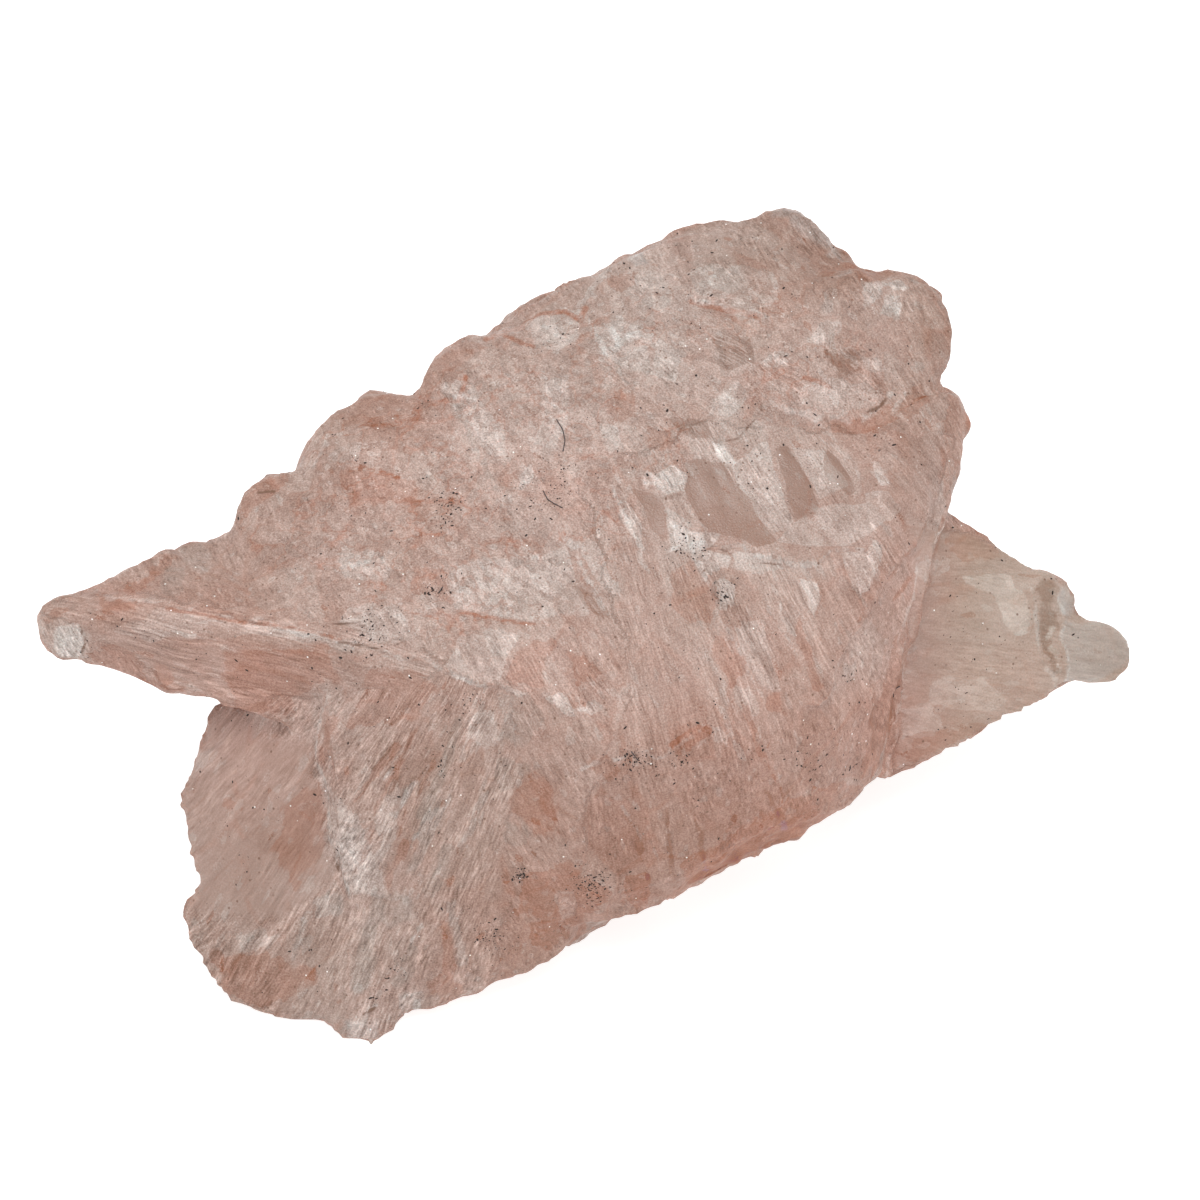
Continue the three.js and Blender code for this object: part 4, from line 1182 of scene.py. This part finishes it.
class Recipe(Nodes):
    """A material made of shader nodes."""

    def __init__(self, name):
        self.material = bpy.data.materials.new(name)
        self.material.use_nodes = True
        super().__init__(self.material.node_tree)
        self.tree.nodes.clear()

    def show(self, surface):
        """Sends a surface with these inputs out, and hands back the finished material."""
        shader = self.add("ShaderNodeBsdfPrincipled", surface)
        out = self.tree.nodes.new("ShaderNodeOutputMaterial")
        self.tree.links.new(shader, out.inputs["Surface"])
        return self.material

    def field(self, name, output="Fac"):
        return self.add("ShaderNodeAttribute", {}, output, attribute_name=name)

    def math(self, operation, *values):
        return self.add("ShaderNodeMath", dict(enumerate(values)), operation=operation)

    def times(self, *values):
        return self.math("MULTIPLY", *values)

    def vector(self, operation, *values):
        return self.add("ShaderNodeVectorMath", dict(enumerate(values)), operation=operation)

    def ramp(self, value, low, high, start=0.0, end=1.0):
        inputs = {"Value": value, "From Min": low, "From Max": high, "To Min": start, "To Max": end}
        return self.add("ShaderNodeMapRange", inputs, interpolation_type="SMOOTHSTEP")

    def noise(self, where, size, detail, roughness=PLAIN_ROUGHNESS):
        inputs = {"Vector": where, "Scale": 1.0 / size, "Detail": detail, "Roughness": roughness}
        return self.add("ShaderNodeTexNoise", inputs, "Fac")

    def cells(self, where, size, output="Distance"):
        return self.add("ShaderNodeTexVoronoi", {"Vector": where, "Scale": 1.0 / size}, output)

    def blend(self, factor, under, over):
        """One colour laid over another as far as the factor says."""
        inputs = {"Factor": factor}
        for socket, colour in zip(MIXED_COLOURS, (under, over)):
            inputs[socket] = (*colour, 1.0) if isinstance(colour, tuple) else colour
        return self.add("ShaderNodeMix", inputs, 2, data_type="RGBA")

    def shade(self, colour, amount):
        """The colour made lighter or darker by an amount round 1."""
        return self.add("ShaderNodeVectorMath", {0: colour, "Scale": amount}, operation="SCALE")

    def total(self, *values):
        result = values[0]
        for value in values[1:]:
            result = self.math("ADD", result, value)
        return result

    def swing(self, value, amount):
        """A value round a half, made to swing round nothing."""
        return self.times(self.math("SUBTRACT", value, 0.5), amount)


class Beryl(Recipe):
    """Cloudy pink beryl: veils, rosy patches, fibres, frosted chips and clear windows."""

    def __init__(self):
        super().__init__("pale pink beryl")
        self.seat = self.field("seat", "Vector")
        self.flow = self.field("flow", "Vector")
        self.grainy = self.field("grainy")
        self.torn = self.field("torn")
        self.plate = self.field("plate")
        self.chip = self.field("chip")
        self.lay_patterns()
        self.lay_patches()
        self.lay_faces()

    def pattern(self, name, where):
        """A named pattern, drawn out along the crystals where it has a run."""
        if name in RUNS:
            where = self.vector("MULTIPLY", where, RUNS[name])
        return self.noise(where, *PATTERNS[name])

    def mask(self, name, value):
        return self.ramp(value, *MASKS[name])

    def by_grain(self, in_sheaves, in_grain):
        """One value in the sheaves, which eases to another where it is grainy."""
        return self.ramp(self.grainy, 0.0, 1.0, in_sheaves, in_grain)

    def along_fibres(self, value):
        """The value, brought to a half at the plates' borders, where the fibres turn."""
        off_border = self.mask("off border", self.field("border"))
        return self.math("MULTIPLY_ADD", self.math("SUBTRACT", value, 0.5), off_border, 0.5)

    def lay_patterns(self):
        """The grain, and the fibres, lines, streaks and hairs that run along the crystals."""
        slanted = self.field("fibres", "Vector")
        self.lines = self.along_fibres(self.mask("lines", self.pattern("lines", slanted)))
        self.dashes = self.along_fibres(self.pattern("dashes", slanted))
        self.fibres = self.pattern("fibres", self.flow)
        self.streaks = self.pattern("streaks", self.flow)
        self.hairs = self.pattern("hairs", self.flow)
        self.sugar = self.pattern("sugar", self.seat)
        self.marble = self.pattern("marble", self.seat)
        colours = self.cells(self.flow, SHARD_SIZE, "Color")
        self.shard = self.add("ShaderNodeSeparateColor", {0: colours})
        combed = self.mask("combed", self.pattern("combed", self.flow))
        self.combed = self.times(combed, self.times(self.field("combing"), self.torn))

    def lay_patches(self):
        """Where each kind of patch lies: its edge jumps from shard to shard and frays along the fibres."""
        self.fray = self.total(
            self.swing(self.shard, FRAY_BY_SHARD),
            self.times(self.chip, FRAY_BY_CHIP),
            self.swing(self.marble, FRAY_BY_MARBLE),
            self.swing(self.streaks, self.times(self.combed, FRAY_BY_STREAKS)),
        )
        veiled = self.times(self.mask("softness", self.pattern("softness", self.seat)), self.torn)
        veiled = self.math("ADD", veiled, LEAST_SOFTNESS)
        self.patches = {}
        for name, frayed in FRAYED.items():
            softness = EDGE_SOFTNESS.get(name, veiled)
            edge = self.math("MULTIPLY_ADD", self.fray, self.times(self.torn, frayed), self.field(name))
            self.patches[name] = self.ramp(edge, softness, self.times(softness, -1.0))

    def lay_faces(self):
        """The small things between the patches: veinlets, meetings, flakes, pits, broken edges and a painted
        dark rim where surfaces turn edge-on.
        """
        mild = self.pattern("mildness", self.seat)
        vein = self.pattern("veinlets", self.vector("ADD", self.seat, VEINLETS_APART))
        vein = self.mask("veinlet", self.math("ABSOLUTE", self.math("SUBTRACT", vein, 0.5)))
        meeting = self.math("ADD", self.field("meeting"), self.swing(self.marble, MEETING_WANDER))
        bit = self.math("MULTIPLY_ADD", self.sugar, BIT_BY_SUGAR, self.cells(self.flow, BIT_SIZE, "Color"))
        broken = self.math("MULTIPLY_ADD", self.fray, BROKEN_BY_FRAY, self.field("ledge"))
        marbled_border = self.mask("border where marbled", self.marble)
        marbled_break = self.mask("broken where marbled", self.marble)
        self.patches |= {
            "veinlet": self.times(vein, self.times(self.grainy, self.mask("veinlets where mild", mild))),
            "border": self.times(self.mask("border", self.field("border")), marbled_border),
            "meeting": self.times(self.mask("meeting", meeting), self.times(self.grainy, mild)),
            "flake": self.mask("flake", bit),
            "pit": self.mask("pit", bit),
            "edge on": self.mask("edge on", self.field("lean")),
            "broken": self.times(self.mask("broken", broken), marbled_break),
        }
        glossy = self.times(self.patches["clear"], self.mask("glossy where torn", self.torn))
        self.still = self.math("MAXIMUM", glossy, self.field("smooth"))
        self.calm = self.mask("calm", self.still)

    def veils(self):
        """The veils' own haze and rosiness, with what lies in and on them."""
        # The tone is the stone's own lightness with the painted light and shade of the placed clouds in it.
        haze = self.field("tone")
        marbling = self.swing(self.marble, MOTTLE_BY_MARBLE)
        mottle = self.math("MULTIPLY_ADD", self.plate, MOTTLE_BY_PLATE, marbling)
        rosier = self.math("MULTIPLY_ADD", mottle, self.calm, self.field("blush"))
        own_lightness = {
            "cream": self.mask("cream by shard", self.shard),
            "frost": self.mask("frost by shard", self.shard),
            "flake": self.by_grain(*FLAKE_LIGHTNESS),
        }
        for name, (lighter, pinker) in TINTS.items():
            where = self.patches[name]
            haze = self.math("MULTIPLY_ADD", where, own_lightness.get(name, lighter), haze)
            rosier = self.math("MULTIPLY_ADD", where, pinker, rosier)
        return haze, self.math("MINIMUM", rosier, ROSIEST)

    def grain(self):
        """Fine grain and fibres, round 1, which thicken and thin the haze, least on the clear plates."""
        lines = self.times(self.mask("ribbed", self.field("ribbed")), self.by_grain(*STRENGTH["lines"]))
        detail = self.total(
            self.swing(self.lines, lines),
            self.swing(self.sugar, self.by_grain(*STRENGTH["sugar"])),
            self.swing(self.hairs, self.times(self.combed, STRENGTH["hairs"])),
            self.swing(self.fibres, STRENGTH["fibres"]),
            self.swing(self.shard, self.by_grain(*STRENGTH["shard"])),
            self.times(self.chip, STRENGTH["chip"]),
            self.times(self.plate, STRENGTH["plate"]),
            self.times(self.times(self.field("crystal"), self.grainy), STRENGTH["crystal"]),
            self.swing(self.marble, STRENGTH["marble"]),
            self.swing(self.streaks, self.times(self.combed, STRENGTH["streaks"])),
            self.times(self.mask("light dash", self.dashes), STRENGTH["dashes"]),
            self.times(self.mask("dark dash", self.dashes), -STRENGTH["dashes"]),
        )
        return self.math("MULTIPLY_ADD", self.times(detail, 0.5), self.calm, 1.0)

    def colour(self):
        """The crystal's colour, its cracks, the painted glints of tiny faces catching the light and the brown
        motes.
        """
        haze, rosier = self.veils()
        grain = self.grain()
        pink = self.vector("ADD", PINKNESS, self.shade(ROSINESS, rosier))
        pink = self.vector("ADD", pink, self.shade(WING_BEIGE, self.field("wing")))
        hazy = self.vector("ADD", pink, self.times(haze, grain))
        colour = self.vector("MAXIMUM", self.shade(hazy, self.times(grain, BODY)), DARKEST)
        colour = self.blend(self.times(self.patches["crack"], CRACK_DEPTH), colour, CRACK_BROWN)
        distance = self.cells(self.seat, DOT_SIZE)
        luck = self.add("ShaderNodeSeparateColor", {0: distance.node.outputs["Color"]}).node.outputs
        # Painted glints: white dots in the colour where tiny faces would catch the light.
        painted_glint = self.times(self.mask("painted_glint", distance), self.mask("spark by luck", luck["Red"]))
        mote = self.times(self.mask("mote", distance), self.mask("mote by luck", luck["Green"]))
        colour = self.blend(painted_glint, colour, PAINTED_GLINT)
        return self.blend(self.times(mote, MOTE_DEPTH), colour, CRACK_BROWN)

    def roughness(self):
        """Smoother on the clear plates and the glass, rougher on the frost."""
        roughness = self.mask("polish", self.patches["clear"])
        roughness = self.math("ADD", roughness, self.times(self.patches["frost"], FROST_ROUGHER))
        return self.math("SUBTRACT", roughness, self.times(self.patches["glass"], GLASS_SMOOTHER))

    def clarity(self):
        """How far light goes through: most in the glass and the wing, least in frost and cream."""
        clarity = self.total(
            BODY_CLARITY,
            self.times(self.patches["clear"], CLEAR_CLARITY),
            self.times(self.field("wing"), WING_CLARITY),
            self.times(self.patches["glass"], GLASS_CLARITY),
        )
        cloud = self.times(self.patches["cream"], CREAM_CLOUD)
        opaque = self.math("MAXIMUM", self.patches["frost"], cloud)
        return self.times(clarity, self.math("SUBTRACT", 1.0, opaque))

    def bump(self):
        """Low lines along the fibres, and the grain."""
        lines = self.times(self.lines, self.mask("line height", self.still))
        height = self.total(lines, self.times(self.sugar, SUGAR_HEIGHT))
        inputs = {"Strength": BUMP_STRENGTH, "Distance": MM, "Height": height}
        return self.add("ShaderNodeBump", inputs)


def crystal_material():
    """The whole of the crystal's surface."""
    beryl = Beryl()
    surface = {
        "Base Color": beryl.colour(),
        "Roughness": beryl.roughness(),
        "Transmission Weight": beryl.clarity(),
        "Normal": beryl.bump(),
        "IOR": BERYL_IOR,
    }
    return beryl.show(surface | GLOW)


MOTTLE_SIZE, MOTTLE_DETAIL, PALEST_GRIT = 0.05, 2.0, 2.6  # in the dirt and the lint
DIRT_BROWN, DIRT_ROUGHNESS = (0.014, 0.008, 0.006), 0.8
LINT_GREY, LINT_ROUGHNESS = (0.03, 0.025, 0.025), 0.7


def grit_material(name, colour, roughness):
    """Dirt: dark matt grains, no two quite alike."""
    recipe = Recipe(name)
    place = recipe.add("ShaderNodeTexCoord", {}, "Object")
    uneven = recipe.noise(place, MOTTLE_SIZE * MM, MOTTLE_DETAIL)
    palest = tuple(PALEST_GRIT * channel for channel in colour)
    return recipe.show({"Base Color": recipe.blend(uneven, colour, palest), "Roughness": roughness})


# ---- dirt and lint, by geometry nodes ----

DIRT_GRAINS = {"Largest grain": 0.14, "Smallest grain": 0.045, "Seed": 11}
RARITY = 3.5  # how much rarer the large grains are
FLATTEST, FULLEST = (0.7, 0.5, 0.35), (1.9, 1.0, 0.6)  # a grain's length, width and height
LINT_THICKNESS = 0.045
LINT_LIFT = 0.05  # how far its middle lies off the skin
LINT_STEPS = 14  # places where a fibre is dropped on to the skin
LINT_RINGS, LINT_SIDES = 24, 6
WELL_ABOVE = 20.0


class Tree(Nodes):
    """A geometry node tree with named inputs."""

    def __init__(self, name):
        super().__init__(bpy.data.node_groups.new(name, "GeometryNodeTree"))
        for way in ("INPUT", "OUTPUT"):
            self.tree.interface.new_socket("Geometry", in_out=way, socket_type="NodeSocketGeometry")
        self.way_in = self.tree.nodes.new("NodeGroupInput")

    def knob(self, name, kind="NodeSocketFloat"):
        """A named input of the tree."""
        self.tree.interface.new_socket(name, in_out="INPUT", socket_type=kind)
        return self.way_in.outputs[name]

    def luck(self, seed, least, most):
        """A random triple for each instance."""
        inputs = {"Min": least, "Max": most, "Seed": seed}
        return self.add("FunctionNodeRandomValue", inputs, data_type="FLOAT_VECTOR")

    def finish(self, instances, material):
        """Realizes the instances, gives them their material and hands them out."""
        real = self.add("GeometryNodeRealizeInstances", {"Geometry": instances})
        done = self.add("GeometryNodeSetMaterial", {"Geometry": real, "Material": material})
        way_out = self.tree.nodes.new("NodeGroupOutput")
        self.tree.links.new(done, way_out.inputs[0])
        return self.tree


def run_tree(name, base, group, values):
    """What a tree makes of a base object, as a plain mesh piece of its own."""
    modifier = base.modifiers.new(name, "NODES")
    modifier.node_group = group
    for item in group.interface.items_tree:
        if item.in_out == "INPUT" and item.name in values:
            modifier[item.identifier] = values[item.name]
    piece = placed(name, made_plain(base))
    base.modifiers.remove(modifier)
    return piece


def speck_tree(material):
    """Little flat grains strewn over the skin as thickly as its dirt field says."""
    tree = Tree("dirt specks")
    largest = tree.knob("Largest grain")
    smallest = tree.knob("Smallest grain")
    seed = tree.knob("Seed", "NodeSocketInt")
    thickly = tree.add("GeometryNodeInputNamedAttribute", {"Name": "dirt"}, data_type="FLOAT")
    inputs = {"Mesh": tree.way_in.outputs[0], "Density": thickly, "Seed": seed}
    strewn = tree.add("GeometryNodeDistributePointsOnFaces", inputs, distribute_method="RANDOM").node
    luck = tree.add("FunctionNodeRandomValue", {"Seed": seed}, 1, data_type="FLOAT")
    rare = tree.add("ShaderNodeMath", {0: luck, 1: RARITY}, operation="POWER")
    size = tree.add("ShaderNodeMapRange", {"Value": rare, "To Min": smallest, "To Max": largest})
    shape = tree.luck(seed, FLATTEST, FULLEST)
    scale = tree.add("ShaderNodeVectorMath", {0: shape, "Scale": size}, operation="SCALE")
    spin = tree.luck(seed, (0.0, 0.0, 0.0), (0.0, 0.0, math.tau))
    inputs = {0: strewn.outputs["Rotation"], 1: spin}
    turned = tree.add("FunctionNodeRotateRotation", inputs, rotation_space="LOCAL")
    grain = tree.add("GeometryNodeMeshIcoSphere", {"Radius": 0.5, "Subdivisions": 1})
    inputs = {"Points": strewn.outputs["Points"], "Instance": grain, "Rotation": turned, "Scale": scale}
    return tree.finish(tree.add("GeometryNodeInstanceOnPoints", inputs), material)


def hair_tree(material):
    """A thin round fibre along each edge chain."""
    tree = Tree("lint")
    thickness = tree.knob("Thickness")
    path = tree.add("GeometryNodeMeshToCurve", {"Mesh": tree.way_in.outputs[0]})
    smooth = tree.add("GeometryNodeResampleCurve", {"Curve": path, "Count": LINT_RINGS})
    radius = tree.add("ShaderNodeMath", {0: thickness, 1: 0.5}, operation="MULTIPLY")
    section = tree.add("GeometryNodeCurvePrimitiveCircle", {"Resolution": LINT_SIDES, "Radius": radius})
    inputs = {"Curve": smooth, "Profile Curve": section, "Fill Caps": True}
    return tree.finish(tree.add("GeometryNodeCurveToMesh", inputs), material)


def dirt_specks(stone):
    """The dirt, as one mesh of small grains."""
    material = grit_material("dark dirt", DIRT_BROWN, DIRT_ROUGHNESS)
    return run_tree("dirt_specks", stone, speck_tree(material), DIRT_GRAINS)


def dropped_on(skin, across, up):
    """Where a fibre over a place on the face comes to lie."""
    hit = skin.ray_cast(from_face(across, up, WELL_ABOVE), -OUTWARD)[0]
    return hit + LINT_LIFT * OUTWARD


def lint(stone):
    """Loose fibres lying on the face, each dropped on to the skin along its way."""
    skin = BVHTree.FromObject(stone, bpy.context.evaluated_depsgraph_get())
    corners, chain = [], []
    for hair in LINT.values():
        knots = np.array(hair)
        walk = np.linspace(0.0, len(knots) - 1.0, LINT_STEPS)
        across, up = (np.interp(walk, range(len(knots)), knots[:, way]) for way in (0, 1))
        first = len(corners)
        corners += [dropped_on(skin, *place) for place in zip(across, up)]
        chain += [(step, step + 1) for step in range(first, len(corners) - 1)]
    mesh = bpy.data.meshes.new("lint paths")
    mesh.from_pydata(corners, chain, [])
    paths = placed("lint paths", mesh)
    material = grit_material("dark lint", LINT_GREY, LINT_ROUGHNESS)
    piece = run_tree("lint", paths, hair_tree(material), {"Thickness": LINT_THICKNESS})
    bpy.data.objects.remove(paths)
    return piece


# ---- the studio ----

PAPER_GLOW = 0.75
PAPER = {"Base Color": (0.6, 0.6, 0.6, 1.0), "Roughness": 0.9, "Specular IOR Level": 0.2}
PAPER_REACH = 40.0  # from the middle, in diagonals of the stone
WHITE = (1.0, 1.0, 1.0, 1.0)
ROOM_GLOW = 0.75
SOFTBOX_POWER = 1.0
SOFTBOX_SIZE = 0.30
SOFTBOX_PLACE = (-0.01, 0.01, 0.40)


def studio_floor():
    """White paper over a soft light, so that it stays white round the stone."""
    reach = PAPER_REACH * (HIGH - LOW).length
    mesh = bpy.data.meshes.new("floor")
    corners = [(-reach, -reach, 0), (reach, -reach, 0), (reach, reach, 0), (-reach, reach, 0)]
    mesh.from_pydata(corners, [], [(0, 1, 2, 3)])
    lit = PAPER | {"Emission Color": WHITE, "Emission Strength": PAPER_GLOW}
    mesh.materials.append(Recipe("lit white paper").show(lit))
    placed("floor", mesh)


def aim(thing, way):
    """Turns a light or a camera to look a certain way."""
    thing.rotation_mode = "QUATERNION"
    thing.rotation_quaternion = way.to_track_quat("-Z", "Y")


def studio_light():
    """One soft light high over the stone, in a pale room."""
    data = bpy.data.lights.new("high softbox", "AREA")
    data.shape = "DISK"
    data.size = SOFTBOX_SIZE
    data.energy = SOFTBOX_POWER
    light = placed("high softbox", data)
    light.location = SOFTBOX_PLACE
    aim(light, (LOW + HIGH) / 2 - light.location)
    world = bpy.data.worlds.new("pale room")
    bpy.context.scene.world = world
    world.use_nodes = True
    background = world.node_tree.nodes["Background"]
    background.inputs["Color"].default_value = WHITE
    background.inputs["Strength"].default_value = ROOM_GLOW
    bpy.context.scene.view_settings.view_transform = "Standard"


def studio_camera():
    """Square to the upper face, far enough back for a long lens."""
    data = bpy.data.cameras.new("camera")
    data.lens = LENS
    data.sensor_width = SENSOR
    camera = placed("camera", data)
    camera.location = from_face(0.0, 0.0, VIEW_DISTANCE) * MM
    aim(camera, -OUTWARD)
    bpy.context.scene.camera = camera


def settle(piece):
    """Takes a piece from millimetres to metres and ties it to the stone's one body."""
    piece.data.transform(Matrix.Scale(MM, 4))
    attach(piece, "root")


studio_camera()
studio_light()
studio_floor()

stone = weathered_skin()
specks = dirt_specks(stone)
hairs = lint(stone)
stone.data.materials.clear()
stone.data.materials.append(crystal_material())
for piece in (stone, specks, hairs):
    settle(piece)
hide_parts("morganite")
